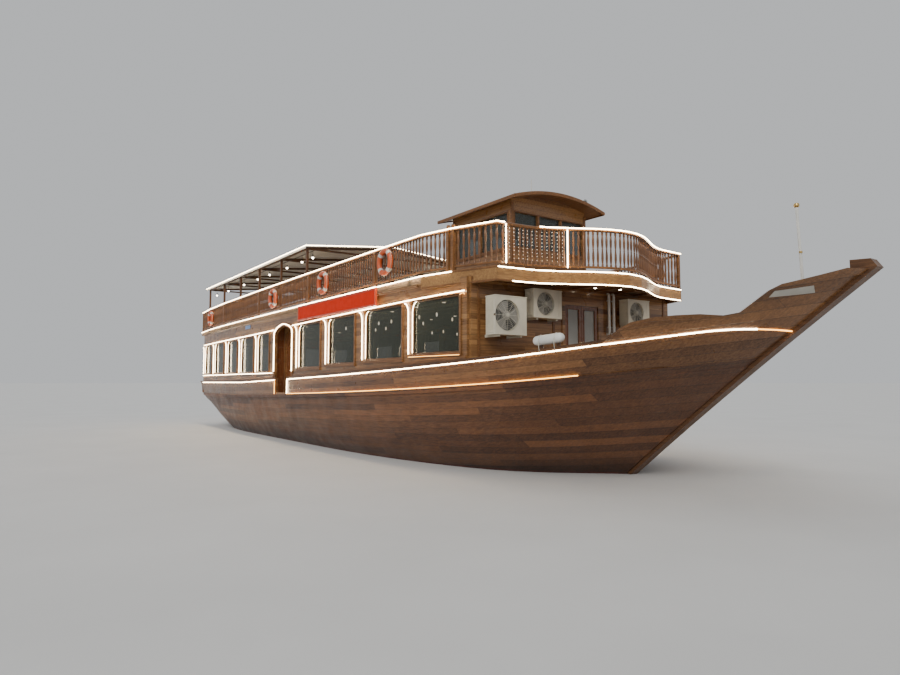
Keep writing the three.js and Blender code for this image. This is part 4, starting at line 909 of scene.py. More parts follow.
LAMP_SHADE = [(0.016, 0.05), (0.024, 0.0), (0.058, -0.035), (0.060, -0.045), (0.050, -0.045)]
LAMP_BULB = [(0.012, 0.02), (0.034, -0.02), (0.040, -0.05), (0.026, -0.078), (0.006, -0.09)]
wire_z = 6.776
for y in (-3.1, 3.1):
    lamps.tube([(-14.22, y, wire_z), (-1.48, y, wire_z)], 0.011, 8)
    for x in (-13.9, -11.9, -9.47, -7.55, -6.08, -4.11, -2.6, -1.6):
        lamps.tube([(x, y, wire_z), (x, y, 6.62)], 0.006, 6)
        lamps.lathe(LAMP_SHADE, (x, y, 6.60), sides=14)
        lamp_glow.lathe(LAMP_BULB, (x, y, 6.58))
lamps.piece("canopy_lamp_shades", iron)
lamp_glow.piece("canopy_lamp_bulbs", bulb_light)

# Entrances: an architrave and a light strip round each arch, panelled leaves with pull handles.
ENTRANCE = {"middle": -2.28, "arch": 0.80, "door": 0.72, "sill": 1.745, "spring": 3.79, "rise": 0.31}
WALL_FACE, DOOR_FACE, ARCH_FOOT = -3.87, -3.5, 2.325


def arch_line(half, face, lift, foot, steps=14):
    """Arched line in a plane y = face, from its fore foot over the top to its aft foot."""
    points = [(half, foot)]
    for step in range(steps + 1):
        turn = math.pi / 2 * step / steps
        up = (1 - math.cos(turn)) * 0.25 + math.sin(turn) * 0.75
        points.append((half * math.cos(turn), ENTRANCE["spring"] + lift + ENTRANCE["rise"] * up))
    other = [(-across, z) for across, z in reversed(points[:-1])]
    return [Vector((ENTRANCE["middle"] + across, face, z)) for across, z in points + other]


def arch_band(half, face, lift, foot, edges, out):
    """Flat band round an arch between two distances from its opening."""
    near, far = (arch_line(half + edge, face, lift + edge, foot) for edge in edges)
    arches.skin([[a, b, b + OUT * out, a + OUT * out] for a, b in zip(near, far)])


arches, arch_lights, reveals = shape_sets(3)
for face, edges, out in (
    (WALL_FACE, (0.002, 0.140), 0.024), (WALL_FACE - 0.024, (0.010, 0.032), 0.010),
    (WALL_FACE - 0.024, (0.112, 0.134), 0.010),
):
    arch_band(ENTRANCE["arch"], face, 0.0, ARCH_FOOT, edges, out)
for face, edges, out in ((DOOR_FACE, (0.002, 0.042), 0.022), (DOOR_FACE - 0.022, (0.008, 0.026), 0.008)):
    arch_band(ENTRANCE["door"], face, -0.06, ENTRANCE["sill"], edges, out)
arch_lights.tube(arch_line(ENTRANCE["arch"] + 0.08, WALL_FACE - 0.024 - LED, 0.08, 2.50), LED)
arches.box((-2.997, -3.56, 1.7455), (-1.563, -3.431, 1.7565))
arches.piece("entrance_architraves", trim_wood, mirrored=True)
arch_lights.piece("light_strips_entrances", strip_light, mirrored=True)
for x in (-3.1995, -1.3605):
    reveals.box((x - 0.006, -3.765, 1.746), (x + 0.006, -3.50, 4.175))
reveals.piece("entrance_reveals", door_wood, mirrored=True)


def leaf_panel(shapes, left, right, low, high, face, out):
    """Raised field with sloping edges inside a sunk panel. out is -1 or 1 along y."""
    levels = ((0.025, -0.001), (0.027, 0.002), (0.06, 0.009), (0.062, 0.010))
    shapes.skin([
        [(x, face + out * depth, z) for x, z in (
            (left + inset, low + inset), (right - inset, low + inset), (right - inset, high - inset),
            (left + inset, high - inset),
        )]
        for inset, depth in levels
    ])


def pull_handle(shapes, x, y, out, low, high):
    shapes.tube([(x, y + out * reach, z) for reach, z in (
        (0, low), (0.035, low), (0.042, low + 0.02), (0.042, high - 0.02), (0.035, high), (0, high),
    )], 0.008)
    for z in (low, high):
        shapes.lathe([(0.022, 0.0), (0.022, out * 0.004), (0.016, out * 0.008)], (x, y, z), "y", 14)


for end, toward in (("aft", -1), ("fore", 1)):
    for side, port in (("starboard", 1), ("port", -1)):
        body = "entrance_leaf_{}_{}".format(end, side)
        left, right = sorted(ENTRANCE["middle"] + toward * edge for edge in (0.095, ENTRANCE["door"] - 0.101))
        handle_x = ENTRANCE["middle"] + toward * 0.05
        fields, handles = shape_sets(2)
        for low, high in ((1.90, 2.56), (2.68, 3.68)):
            leaf_panel(fields, left, right, low, high, -3.465 * port, -port)
            leaf_panel(fields, left, right, low, high, -3.440 * port, port)
        pull_handle(handles, handle_x, -3.475 * port, -port, 2.70, 3.05)
        pull_handle(handles, handle_x, -3.430 * port, port, 2.70, 3.05)
        fields.piece(body + "_panels", door_wood, body)
        handles.piece(body + "_handles", brass, body)


def at_x(x):
    return lambda across, height: Vector((x, across, height))


def at_y(y):
    return lambda across, height: Vector((across, y, height))


def casing(shapes, place, across, out, edges, width, depth):
    """Flat frame round an opening. place gives a point from (across, height)."""
    low_u, high_u, low_v, high_v = edges
    for u in (low_u - width / 2, high_u + width / 2):
        shapes.beam(place(u, low_v - width), place(u, high_v + width), across, width, out, depth)
    for v in (low_v - width / 2, high_v + width / 2):
        shapes.beam(place(low_u, v), place(high_u, v), UP, width, out, depth)


# Glazed double door in the saloon's front wall.
for side, port in (("starboard", -1), ("port", 1)):
    body = "front_door_" + side
    low, high = sorted((port * 0.100, port * 0.480))
    knob_y = port * 0.05
    pane, beads, fittings = shape_sets(3)
    pane.box((8.341, low - 0.004, 2.696), (8.347, high + 0.004, 3.949))
    for face, out in ((8.370, AHEAD), (8.325, ASTERN)):
        casing(beads, at_x(face), PORTWARD, out, (low, high, 2.70, 3.945), 0.022, 0.010)
        casing(beads, at_x(face), PORTWARD, out, (low + 0.02, high - 0.02, 2.24, 2.56), 0.02, 0.010)
    knob = [(0.024, 8.370), (0.024, 8.376), (0.012, 8.380), (0.009, 8.415)]
    fittings.lathe(knob, (0, knob_y, 3.06), "x", 14)
    fittings.tube([(8.412, knob_y, 3.06), (8.414, port * 0.09, 3.058), (8.410, port * 0.155, 3.052)], 0.008)
    fittings.box((FRONT_WALL, knob_y - 0.02, 2.93), (8.3735, knob_y + 0.02, 3.13))
    for z in (2.32, 3.05, 3.80):
        fittings.lathe([(0.005, -0.05), (0.005, 0.05)], (8.370, port * 0.579, z))
    pane.piece(body + "_pane", pale_glass, body)
    beads.piece(body + "_beads", door_wood, body, edge=0.002)
    fittings.piece(body + "_fittings", brass, body)

# Front wall: skirting, soffit beams, cable pipes and lamps.
front_trim, pipes, soffit_rims, soffit_bulbs = shape_sets(4)
front_trim.box((FRONT_WALL, -3.31, 2.07), (8.392, -0.72, 2.19))
front_trim.box((FRONT_WALL, 0.72, 2.07), (8.392, 3.31, 2.19))
front_trim.box((FRONT_WALL, -3.49, 4.42), (8.400, 3.49, 4.499))
for y in (-3.29, -0.98, 1.29, 3.29):
    front_trim.box((FRONT_WALL, y - 0.035, 2.19), (8.388, y + 0.035, 4.42))
for y in (-2.75, -1.95, -1.1, -0.3, 0.5, 1.25, 2.0, 2.8):
    reach = ogee_x(y) - 0.062 if abs(y) <= OGEE_HALF else 8.98
    front_trim.box((8.401, y - 0.03, 4.445), (reach, y + 0.03, SOFFIT))
front_trim.piece("front_wall_trim", trim_wood, edge=0.003)
for y in (0.95, 1.13):
    pipes.tube([(8.45, y, 3.44), (8.45, y, 4.37)], 0.036, 14)
    for z in (3.55, 4.25):
        pipes.box((8.385, y - 0.012, z - 0.016), (8.452, y + 0.012, z + 0.016))
        pipes.lathe([(0.040, -0.016), (0.040, 0.016)], (8.45, y, z), sides=16)
    pipes.tube([(8.45, y, 4.37), (8.45, y, 4.41), (8.43, y, 4.43), (8.39, y, 4.43)], 0.030, 12)
    pipes.tube([(8.45, y, 3.44), (8.45, y, 3.40), (8.43, y, 3.375), (8.37, y, 3.375)], 0.030, 12)
pipes.piece("front_wall_pipes", white_paint)
RIM = [(0.040, 4.499), (0.062, 4.499), (0.062, 4.488), (0.052, 4.478), (0.040, 4.484)]
for x, y in ((8.75, 0.11), (8.92, 0.85)):
    soffit_rims.lathe(RIM, (x, y, 0), sides=20)
    soffit_bulbs.lathe([(0.041, 4.492), (0.038, 4.480), (0.022, 4.466), (0.006, 4.462)], (x, y, 0), sides=16)
soffit_rims.piece("soffit_lamp_rims", steel)
soffit_bulbs.piece("soffit_lamp_bulbs", bulb_light)

# Outdoor units: fan, wire guard, fins, lid and pipes. Each is left, right, low, high, back, face, fan.
COOLERS = [
    (-3.235, -2.320, 3.170, 4.040, 8.560, 8.900, -2.890),
    (-1.940, -1.030, 3.630, 4.310, 8.420, 8.720, -1.560),
    (1.350, 2.200, 3.620, 4.290, 8.450, 8.750, 1.690),
]
GUARD_RINGS, FIN_PITCH = 9, 0.022
guards, fans, fins, lids, lines, shade_discs = shape_sets(6)
for left, right, low, high, back, face, fan in COOLERS:
    middle, radius = (low + high) / 2, (high - low) * 0.4
    hub = (0, fan, middle)

    def on_fan(x, turn, share):
        return (x, fan + math.cos(turn) * radius * share, middle + math.sin(turn) * radius * share)

    for share in (ring / GUARD_RINGS for ring in range(1, GUARD_RINGS + 1)):
        centre = Vector((face + 0.016 - 0.010 * share ** 2, fan, middle))
        guards.tube(arc(centre, PORTWARD, UP, radius * share, 36), 0.0032, 5, loop=True)
    for turn in (TURN * spoke / 12 for spoke in range(12)):
        spoke = [on_fan(face + 0.014 - 0.010 * share ** 2, turn, share) for share in (0.1, 0.4, 0.7, 1.03)]
        guards.tube(spoke, 0.004, 5)
    boss = [(radius * 0.14, face + 0.010), (radius * 0.14, face + 0.022), (radius * 0.10, face + 0.026)]
    guards.lathe(boss, hub, "x", 18)
    for blade in (TURN * blade / 3 for blade in range(3)):
        rows = []
        for share in (0.26, 0.5, 0.75, 0.95):
            row = [
                on_fan(face - 0.036 - across * 0.034, blade + across * mix(0.9, 1.25, share), share)
                for across in (-0.5, -0.17, 0.17, 0.5)
            ]
            rows.append([*row, *((x - 0.003, y, z) for x, y, z in reversed(row))])
        fans.skin(rows)
    drum = [(radius * 0.30, face - 0.058), (radius * 0.30, face - 0.024), (radius * 0.22, face - 0.014)]
    fans.lathe(drum, hub, "x", 20)
    # A thin dark disc at the floor of each fan well is painted shade: it stands for the dark depth of the
    # casing behind the fan.
    shade_profile = [(radius * 0.98, face - 0.0602), (radius * 0.98, face - 0.0590), (radius * 0.2, face - 0.0588)]
    shade_discs.lathe(shade_profile, hub, "x", 36)
    for fin in range(int((face - back - 0.09) / FIN_PITCH)):
        x = back + 0.045 + fin * FIN_PITCH
        fins.box((x, left - 0.007, low + 0.07), (x + 0.009, left + 0.001, high - 0.07))
    bars = [(low + 0.045, low + 0.07, 0.009), (high - 0.07, high - 0.045, 0.009)]
    fin_heights = [mix(low + 0.07, high - 0.07, share) for share in (0.33, 0.66)]
    bars += [(z - 0.006, z + 0.006, 0.0085) for z in fin_heights]
    for foot, head, out in bars:
        fins.box((back + 0.03, left - out, foot), (face - 0.035, left + 0.001, head))
    lids.box((back - 0.006, left - 0.010, high - 0.020), (face + 0.008, right + 0.010, high + 0.008))
    lids.box((face - 0.002, right - 0.115, low + 0.05), (face + 0.004, right - 0.025, high - 0.06))
    for y in (left + 0.14, right - 0.14):
        lids.box((back + 0.02, y - 0.03, low - 0.006), (face - 0.03, y + 0.03, low + 0.002))
    for z, reach in ((low + 0.12, right + 0.055), (low + 0.20, right + 0.075)):
        lines.tube([
            (back + 0.10, right - 0.002, z), (back + 0.10, right + 0.03, z), (back + 0.085, reach, z - 0.01),
            (back + 0.03, reach + 0.004, z - 0.03), (8.40, reach, z - 0.03), (8.369, reach, z - 0.03),
        ], 0.014, 10)
guards.piece("cooler_guards", guard_paint)
fans.piece("cooler_fans", fan_plastic)
shade_discs.piece("cooler_wells", dark_plastic)
fins.piece("cooler_fins", cream_paint)
lids.piece("cooler_lids", cream_paint, edge=0.003)
lines.piece("cooler_pipes", white_paint)

# Blank sign boards with a lit face in a raised frame, and blank plates on the saloon's sides and the prow.
sign_rims, sign_faces, plates, prow_plates = shape_sets(4)


def sign_block(shapes, stops, low, high, out, inset=0.0):
    corners = ((low, -0.001), (high, -0.001), (high - inset, out), (low + inset, out))
    shapes.skin([[(x, -(deck_edge(x) + SIGN["out"] + depth), z) for z, depth in corners] for x in stops])


low, high = SIGN["low"], SIGN["high"]
sign_block(sign_rims, sign_stops, low, low + 0.04, 0.018)
sign_block(sign_rims, sign_stops, high - 0.04, high, 0.018)
for start in (SIGN["aft"], SIGN["fore"] - 0.04):
    sign_block(sign_rims, (start, start + 0.04), low + 0.04, high - 0.04, 0.018)
inner = [SIGN["aft"] + 0.055, *sign_stops[1:-1], SIGN["fore"] - 0.055]
sign_block(sign_faces, inner, low + 0.055, high - 0.055, 0.010, 0.010)
sign_rims.piece("sign_frames", sign_paint, edge=0.003, mirrored=True)
sign_faces.piece("sign_faces", sign_glow, mirrored=True)
plates.box((-6.62, -3.884, 4.27), (-6.02, -3.8695, 4.41))
plates.piece("side_plates", blue_plate, edge=0.003, mirrored=True)


def prow_point(reach, share, out):
    """Point just outside of the starboard prow board, from its foot (0) to its cap (1)."""
    point = plank_point(reach, share)
    ahead = plank_point(reach + 0.002, share) - plank_point(reach - 0.002, share)
    along = Vector((ahead.x, ahead.y)).normalized()
    return Vector((point.x + along.y * out, point.y - along.x * out, point.z))


rows = []
for place in (step / 6 for step in range(7)):
    foot, foot_share = mix(0.959, 0.986, place), mix(0.900, 0.813, place)
    head, head_share = mix(0.9585, 0.9802, place), mix(0.982, 0.927, place)
    rows.append([
        prow_point(foot, foot_share, 0.001), prow_point(head, head_share, 0.001),
        prow_point(head, head_share - 0.003, 0.008), prow_point(foot, foot_share + 0.003, 0.008),
    ])
prow_plates.skin(rows)
prow_plates.piece("prow_plates", grey_plate, mirrored=True)

# Fairy lights behind the sticks at the front corner.
drop_wires, drop_bulbs = shape_sets(2)
curtain = front_path(-3.0, -1.45, OGEE_STEPS)
travelled = [0.0]
for low, high in zip(curtain, curtain[1:]):
    travelled.append(travelled[-1] + math.hypot(high[0] - low[0], high[1] - low[1]))
for string in range(12):
    x, y = (read_table(list(zip(travelled, places)), 0.08 + string * 0.125) for places in zip(*curtain))
    drop_wires.tube([(x, y, 5.615), (x, y, 4.84)], 0.002, 4)
    for bulb in range(9):
        z = 5.55 - bulb * 0.082 - random.uniform(0.0, 0.02)
        drop_bulbs.lathe(
            [(0.001, 0.008), (0.005, 0.003), (0.005, -0.003), (0.002, -0.008)], (x, y, z), sides=6,
        )
drop_wires.piece("fairy_light_wires", dark_plastic)
drop_bulbs.piece("fairy_light_bulbs", spark_light)

# Stern: window frames, lights, mouldings.
stern_frames, stern_lights = shape_sets(2)
for left, right in ((-2.90, -1.25), (-0.825, 0.825), (1.25, 2.90)):
    casing(stern_frames, at_x(-14.45), PORTWARD, ASTERN, (left, right, 2.52, 3.93), 0.07, 0.028)
    for y in (left - 0.02, right + 0.02):
        stern_lights.tube([(-14.492, y, 2.54), (-14.492, y, 3.91)], 0.011)
stern_frames.box((-14.478, -3.5, 4.42), (STERN_WALL, 3.5, 4.4985))
stern_frames.box((-14.472, -3.36, 2.215), (STERN_WALL, 3.36, 2.30))
stern_frames.piece("stern_frames", trim_wood, edge=0.003)
for x, half, z, radius in (
    (-14.492, 3.45, 3.985, 0.012), (-14.864, 3.5, DECK_LIGHT, LED), (-14.864, 3.36, RAIL_LIGHT, LED),
):
    stern_lights.tube([(x, -half, z), (x, half, z)], radius)
stern_lights.piece("light_strips_stern", strip_light)

# Wheelhouse: window frames, mouldings, roof edge, door furniture.
CABIN = {"aft": 4.60, "fore": 7.25, "half": 1.35, "sill": 5.65, "head": 6.56}
cabin_trim, roof_edge, roof_battens, door_glass, door_beads, door_lever = shape_sets(6)
for low, high in ((-1.24, -0.45), (-0.39, 0.39), (0.45, 1.24)):
    edges = (low, high, CABIN["sill"], CABIN["head"])
    casing(cabin_trim, at_x(CABIN["fore"]), PORTWARD, AHEAD, edges, 0.028, 0.018)
for low, high in ((5.93, 7.08), (4.78, 5.84)):
    for side in (-1, 1):
        edges = (low, high, CABIN["sill"], CABIN["head"])
        casing(cabin_trim, at_y(side * CABIN["half"]), AHEAD, PORTWARD * side, edges, 0.038, 0.018)
after_window = (0.10, 1.15, CABIN["sill"], CABIN["head"])
casing(cabin_trim, at_x(CABIN["aft"]), PORTWARD, ASTERN, after_window, 0.05, 0.018)
cabin_trim.box((4.58, -0.192, 4.70), (4.6005, -0.135, 6.56))
cabin_trim.box((4.58, -0.84, 6.485), (4.6005, -0.192, 6.56))
bands = [(x, x + 0.055, 4.80, 6.80, 0.022) for x in (4.62, 7.215)]
for low, high, out in ((DECK_FOOT, 4.80, 0.022), (5.56, 5.60, 0.026)):
    reach = CABIN["half"] + out
    cabin_trim.box((7.2495, -reach, low), (CABIN["fore"] + out, reach, high))
    bands.append((4.62, 7.2495, low, high, out))
for aft, fore, low, high, out in bands:
    for near, far in ((1.3495, CABIN["half"] + out), (-CABIN["half"] - out, -1.3495)):
        cabin_trim.box((aft, near, low), (fore, far, high))
for y in (-1.345, 1.29):
    cabin_trim.box((7.2495, y, 4.80), (7.272, y + 0.055, 6.80))
cabin_trim.piece("wheelhouse_trim", trim_wood, edge=0.003)


def roof_height(y):
    return 7.12 - 0.26 * (y / 1.63) ** 2


END_EDGE = [(-0.001, 0.006), (0.024, 0.002), (0.030, -0.04), (0.018, -0.085), (-0.001, -0.085)]
EAVES = [(1.629, 6.866), (1.652, 6.862), (1.658, 6.82), (1.646, 6.775), (1.629, 6.775)]
BATTEN = [(-0.016, -0.004), (0.016, -0.004), (0.011, 0.009), (-0.011, 0.009)]
for x, out in ((7.72, 1), (4.25, -1)):
    roof_edge.skin([
        [(x + out * reach, y, roof_height(y) + rise) for reach, rise in END_EDGE]
        for y in steps_between(-1.63, 1.63, 24)
    ])
for side in (-1, 1):
    roof_edge.skin([[(x, side * y, z) for y, z in EAVES] for x in (4.232, 7.738)])
for y in (seam * 0.36 for seam in range(-4, 5)):
    roof_battens.skin([
        [(x, y + shift, roof_height(y) + rise) for shift, rise in BATTEN] for x in (4.27, 7.70)
    ])
roof_edge.piece("wheelhouse_roof_edge", trim_wood)
roof_battens.piece("wheelhouse_roof_battens", trim_wood)
door_glass.box((4.618, -0.794, 5.696), (4.624, -0.306, 6.354))
for edges in ((-0.79, -0.31, 5.70, 6.35), (-0.76, -0.34, 4.95, 5.52)):
    casing(door_beads, at_x(CABIN["aft"]), PORTWARD, ASTERN, edges, 0.02, 0.008)
door_lever.tube(
    [(4.600, -0.262, 5.60), (4.560, -0.262, 5.60), (4.553, -0.275, 5.60), (4.553, -0.37, 5.596)], 0.008,
)
door_lever.lathe([(0.024, 4.601), (0.024, 4.594), (0.014, 4.590)], (0, -0.262, 5.60), "x", 16)
door_glass.piece("wheelhouse_door_pane", clear_glass, "wheelhouse_door")
door_beads.piece("wheelhouse_door_beads", door_wood, "wheelhouse_door", edge=0.002)
door_lever.piece("wheelhouse_door_lever", brass, "wheelhouse_door")

# Wheel and instruments.
HUB = Vector((6.56, 0.0, 5.58))
KNOB = [(0.36, 0.015), (0.372, 0.021), (0.395, 0.024), (0.42, 0.019), (0.432, 0.010)]
wheel_trim, knobs, console, gauges, gauge_faces = shape_sets(5)
for reach in (0.318, 0.362):
    wheel_trim.tube(arc(HUB - AHEAD * 0.016, UP, PORTWARD, reach, 48), 0.004, 5, loop=True)
wheel_trim.lathe([(0.074, -0.047), (0.074, -0.035), (0.045, -0.052), (0.020, -0.060)], HUB, "x", 20)
wheel_trim.piece("helm_wheel_brass", brass, "helm_wheel")
for turn in (math.pi * spoke / 3 for spoke in range(6)):
    out = Vector((0.0, -math.sin(turn), math.cos(turn)))
    knobs.skin([arc(HUB + out * reach, AHEAD, out.cross(AHEAD), radius, 10) for reach, radius in KNOB])
knobs.piece("helm_wheel_knobs", turned_wood, "helm_wheel")
slope = Vector((0.51, 0, -0.12)).normalized()
rise = Vector((0.12, 0, 0.51)).normalized()
console.beam((6.62, 0, 5.688), (7.16, 0, 5.561), PORTWARD, 0.88, rise, 0.022)
for y in (-0.30, -0.12, 0.08, 0.28):
    centre = Vector((6.86, y, 5.6535)) + rise * 0.002
    for radius, height, shapes in ((0.062, 0.012, gauges), (0.052, 0.0135, gauge_faces)):
        shapes.skin([arc(centre + rise * lift, slope, PORTWARD, radius, 24) for lift in (0.0, height)])
for y in (-0.05, 0.03):
    gauges.tube([(7.02, y, 5.61), (7.005, y, 5.72), (6.985, y, 5.74)], 0.009)
console.piece("helm_console_top", trim_wood, edge=0.004)
gauges.piece("helm_gauges", brass)
gauge_faces.piece("helm_gauge_faces", dark_plastic)


# Foredeck: stanchions inside the bulwark, corner boards, cleats, a flush hatch, a fender on the cap rail.
def rail_frame(reach):
    """Place on the starboard cap line, with the directions along the rail and inboard."""
    step = plank_point(min(reach + 0.01, 0.995), 1.0) - plank_point(reach - 0.01, 1.0)
    along = step.normalized()
    return plank_point(reach, 1.0), along, Vector((-along.y, along.x, 0.0)).normalized()


def bulwark_inside(x, share):
    low, high = 0.5, 0.7
    for _ in range(20):
        middle = (low + high) / 2
        low, high = (middle, high) if plank_point(middle, share).x < x else (low, middle)
    return plank_point(low, share).y + 0.102


stanchions, corner_boards, cleats, hatch, hatch_rings, fender, lashings, chocks = shape_sets(8)
for reach in (0.692 + 0.0185 * step for step in range(10)):
    _, along, inboard = rail_frame(reach)
    foot, head = (plank_point(reach, share) + inboard * 0.098 for share in (0.0, 0.985))
    stanchions.beam(foot, head, along, 0.085, inboard, 0.055)
stanchions.piece("bulwark_stanchions", timber, edge=0.006, mirrored=True)
corner_boards.skin([
    [(8.296, -3.3255, z), (8.366, -3.3255, z), *((x, bulwark_inside(x, share), z) for x in (8.366, 8.296))]
    for z, share in ((deck_height(8.33) + 0.003, 0.0), (cap_height(8.33) - 0.033, 1.0))
])
corner_boards.piece("front_corner_boards", front_boards, mirrored=True)
for reach in (0.715, 0.835):
    here, along, inboard = rail_frame(reach)
    middle = here + inboard * 0.05 + UP * 0.058
    horn = [middle + along * (0.14 * share) + UP * (0.012 * abs(share)) for share in (-1, -0.6, 0, 0.6, 1)]
    cleats.tube(horn, 0.013)
    for share in (-0.4, 0.4):
        cleats.tube([middle + along * (0.14 * share), middle + along * (0.16 * share) - UP * 0.062], 0.016)
cleats.piece("rail_cleats", iron, mirrored=True)

aft_end, fore_end = (Vector((x, 0, deck_height(x) - 0.002)) for x in (11.95, 12.65))
hatch.beam(aft_end, fore_end, PORTWARD, 0.80, UP, 0.045)
for y in (-0.24, -0.08, 0.08, 0.24):
    shift = Vector((0, y, 0.043))
    hatch.beam(aft_end + shift + AHEAD * 0.03, fore_end + shift - AHEAD * 0.03, PORTWARD, 0.145, UP, 0.012)
for x in (12.06, 12.54):
    centre = Vector((x, 0.0, deck_height(x) + 0.060))
    hatch_rings.tube(arc(centre, AHEAD, PORTWARD, 0.04, 16), 0.006, 6, loop=True)
hatch.piece("foredeck_hatch", deck_boards, edge=0.004)
hatch_rings.piece("foredeck_hatch_rings", brass)

here, along, inboard = rail_frame(0.787)
rail_top = here + inboard * 0.045
fender_middle = rail_top + UP * 0.238
for place in (-0.2, 0.2):
    foot = rail_top + along * place + UP * 0.058
    chocks.beam(foot, foot + UP * 0.100, along, 0.07, inboard, 0.06)
chocks.piece("rail_fender_chocks", timber, edge=0.004)
side = along.cross(UP).normalized()
up = side.cross(along).normalized()
FENDER_END = [(0.2, 0.1), (0.27, 0.095), (0.31, 0.075), (0.335, 0.045), (0.34, 0.02)]
fender_profile = [*((-place, radius) for place, radius in reversed(FENDER_END)), *FENDER_END]
fender.skin([arc(fender_middle + along * place, side, up, radius, 20) for place, radius in fender_profile])
fender.piece("rail_fender", white_paint)
for place in (-0.17, 0.17):
    ring = arc(fender_middle + along * place - UP * 0.083, side * 0.112, UP * 0.189, 1.0, 24)
    lashings.tube(ring, 0.008, 6, loop=True)
lashings.piece("rail_fender_lashings", rope)

bitt_bands, staff_trim, lamp_parts, lamp_lens, whip_base = shape_sets(5)
for y in (-0.42, 0.42):
    for z in (2.411, 2.891):
        for x0, y0, x1, y1 in (
            (11.008, y - 0.092, 11.016, y + 0.092), (11.184, y - 0.092, 11.192, y + 0.092),
            (11.008, y - 0.092, 11.192, y - 0.084), (11.008, y + 0.084, 11.192, y + 0.092),
        ):
            bitt_bands.box((x0, y0, z), (x1, y1, z + 0.05))
bitt_bands.piece("mooring_bitt_bands", iron)
TRUCK = [(0.020, 5.375), (0.040, 5.385), (0.052, 5.41), (0.052, 5.43), (0.040, 5.455), (0.012, 5.466)]
staff_trim.lathe(TRUCK, (13.87, 0, 0), sides=16)
for share in (0.06, 0.5):
    place = (mix(13.965, 13.870, share), 0, mix(3.3, 5.39, share) + 0.18)
    staff_trim.lathe([(0.030, -0.02), (0.032, 0.0), (0.030, 0.02)], place, sides=14)
staff_trim.piece("bow_staff_trim", brass)

# Searchlight and antenna on the wheelhouse roof.
LAMP = (0, 1.25, 7.1695)
YOKE = [
    (-0.090, 0), (-0.104, 0), (-0.104, -0.085), (-0.05, -0.112),
    (0.05, -0.112), (0.104, -0.085), (0.104, 0), (0.090, 0),
]
lamp_parts.lathe([(0.084, 7.366), (0.092, 7.370), (0.092, 7.390), (0.074, 7.394)], LAMP, "x", 24)
lamp_parts.lathe([(0.086, 7.212), (0.070, 7.190), (0.040, 7.178), (0.012, 7.174)], LAMP, "x", 24)
lamp_parts.tube([(7.30, LAMP[1] + across, LAMP[2] + rise) for across, rise in YOKE], 0.009)
lamp_lens.lathe([(0.075, 7.384), (0.060, 7.394), (0.030, 7.400), (0.008, 7.401)], LAMP, "x", 24)
lamp_parts.piece("searchlight_rim", steel)
lamp_lens.piece("searchlight_lens", clear_glass)
WHIP_FOOT = [(0.045, -0.002), (0.045, 0.010), (0.022, 0.022), (0.020, 0.075), (0.015, 0.085)]
whip_base.lathe(WHIP_FOOT, (6.95, -0.38, roof_height(-0.38)), sides=16)
whip_base.piece("antenna_base", dark_plastic)

# Stair: nosings and side boards.
RUN, RISE, TREADS = 2.97, 3.04, 14
nosings, strings = shape_sets(2)
for step in range(TREADS):
    x, z = -5.48 + RUN / TREADS * step, 1.64 + RISE / TREADS * (step + 1)
    nosings.box((x - 0.004, -0.435, z - 0.024), (x + 0.030, 0.435, z + 0.004))
climb = Vector((RUN, 0, RISE)).normalized()
lean = Vector((-climb.z, 0, climb.x))
for y in (-0.4625, 0.4625):
    foot, head = (Vector(place) - lean * 0.19 for place in ((-5.30, y, 1.80), (-2.74, y, 4.42)))
    strings.beam(foot, head, PORTWARD, 0.024, lean, 0.31)
nosings.piece("stair_nosings", brass)
strings.piece("stair_strings", trim_wood, edge=0.004)

# Saloon: base of the benches, pendants and ceiling lamps.
BENCH = {"aft": -0.8, "fore": 7.3, "base": 0.314, "rest": 0.893}
base, pendants, pendant_rods, ceiling = shape_sets(4)


def bench_foot(x):
    return deck_height(x) + 0.004


for near, far, low, high in (
    (-3.34, -2.93, 0.0, BENCH["base"]), (-3.34, -3.318, BENCH["base"], BENCH["rest"]),
):
    base.skin([
        [(x, y, bench_foot(x) + lift) for y, lift in ((near, low), (far, low), (far, high), (near, high))]
        for x in (BENCH["aft"], 0.0, 2.0, 4.0, 6.0, BENCH["fore"])
    ])
bench_base = base.piece("bench_bases", door_wood, edge=0.004, mirrored=True)
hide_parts("saloon_bench_starboard", "saloon_bench_port")
DROP = [(0.008, 4.022), (0.022, 4.00), (0.026, 3.96), (0.020, 3.92), (0.005, 3.905)]
for x in (-0.4, 0.35, 1.95, 2.75, 4.35, 5.25, 6.55, 7.45):
    for y in (-2.35, -1.2):
        pendant_rods.tube([(x, y, 4.499), (x, y, 4.02)], 0.006, 6)
        pendant_rods.lathe([(0.045, 4.499), (0.040, 4.480), (0.010, 4.472)], (x, y, 0), sides=14)
        pendants.lathe(DROP, (x, y, 0))
for x in [-13.2 + step * 2.25 for step in range(4)] + [-0.6 + step * 1.55 for step in range(6)]:
    for y in (-1.3, 1.3):
        ceiling.lathe([(0.055, 4.499), (0.055, 4.484), (0.046, 4.477), (0.01, 4.475)], (x, y, 0), sides=16)
pendants.piece("saloon_pendants", spark_light, mirrored=True)
pendant_rods.piece("saloon_pendant_rods", brass, mirrored=True)
ceiling.piece("saloon_ceiling_lamps", spark_light)


# Cushions on the benches: pads blown up by a short cloth simulation, then sewn channels.
def pad_block(name, size, spacing):
    """Rounded block, centred on its lowest face, with points a little closer than spacing."""
    shape = bmesh.new()
    bmesh.ops.create_cube(shape, size=1.0)
    for vertex in shape.verts:
        vertex.co = Vector((vertex.co.x * size[0], vertex.co.y * size[1], (vertex.co.z + 0.5) * size[2]))
    bmesh.ops.bevel(shape, geom=shape.edges, offset=min(size) * 0.3, segments=3, affect="EDGES")
    mesh = bpy.data.meshes.new(name)
    shape.to_mesh(mesh)
    shape.free()
    block = add_object(name, mesh)
    remesh = block.modifiers.new("remesh", "REMESH")
    remesh.mode = "VOXEL"
    remesh.voxel_size = spacing
    return block


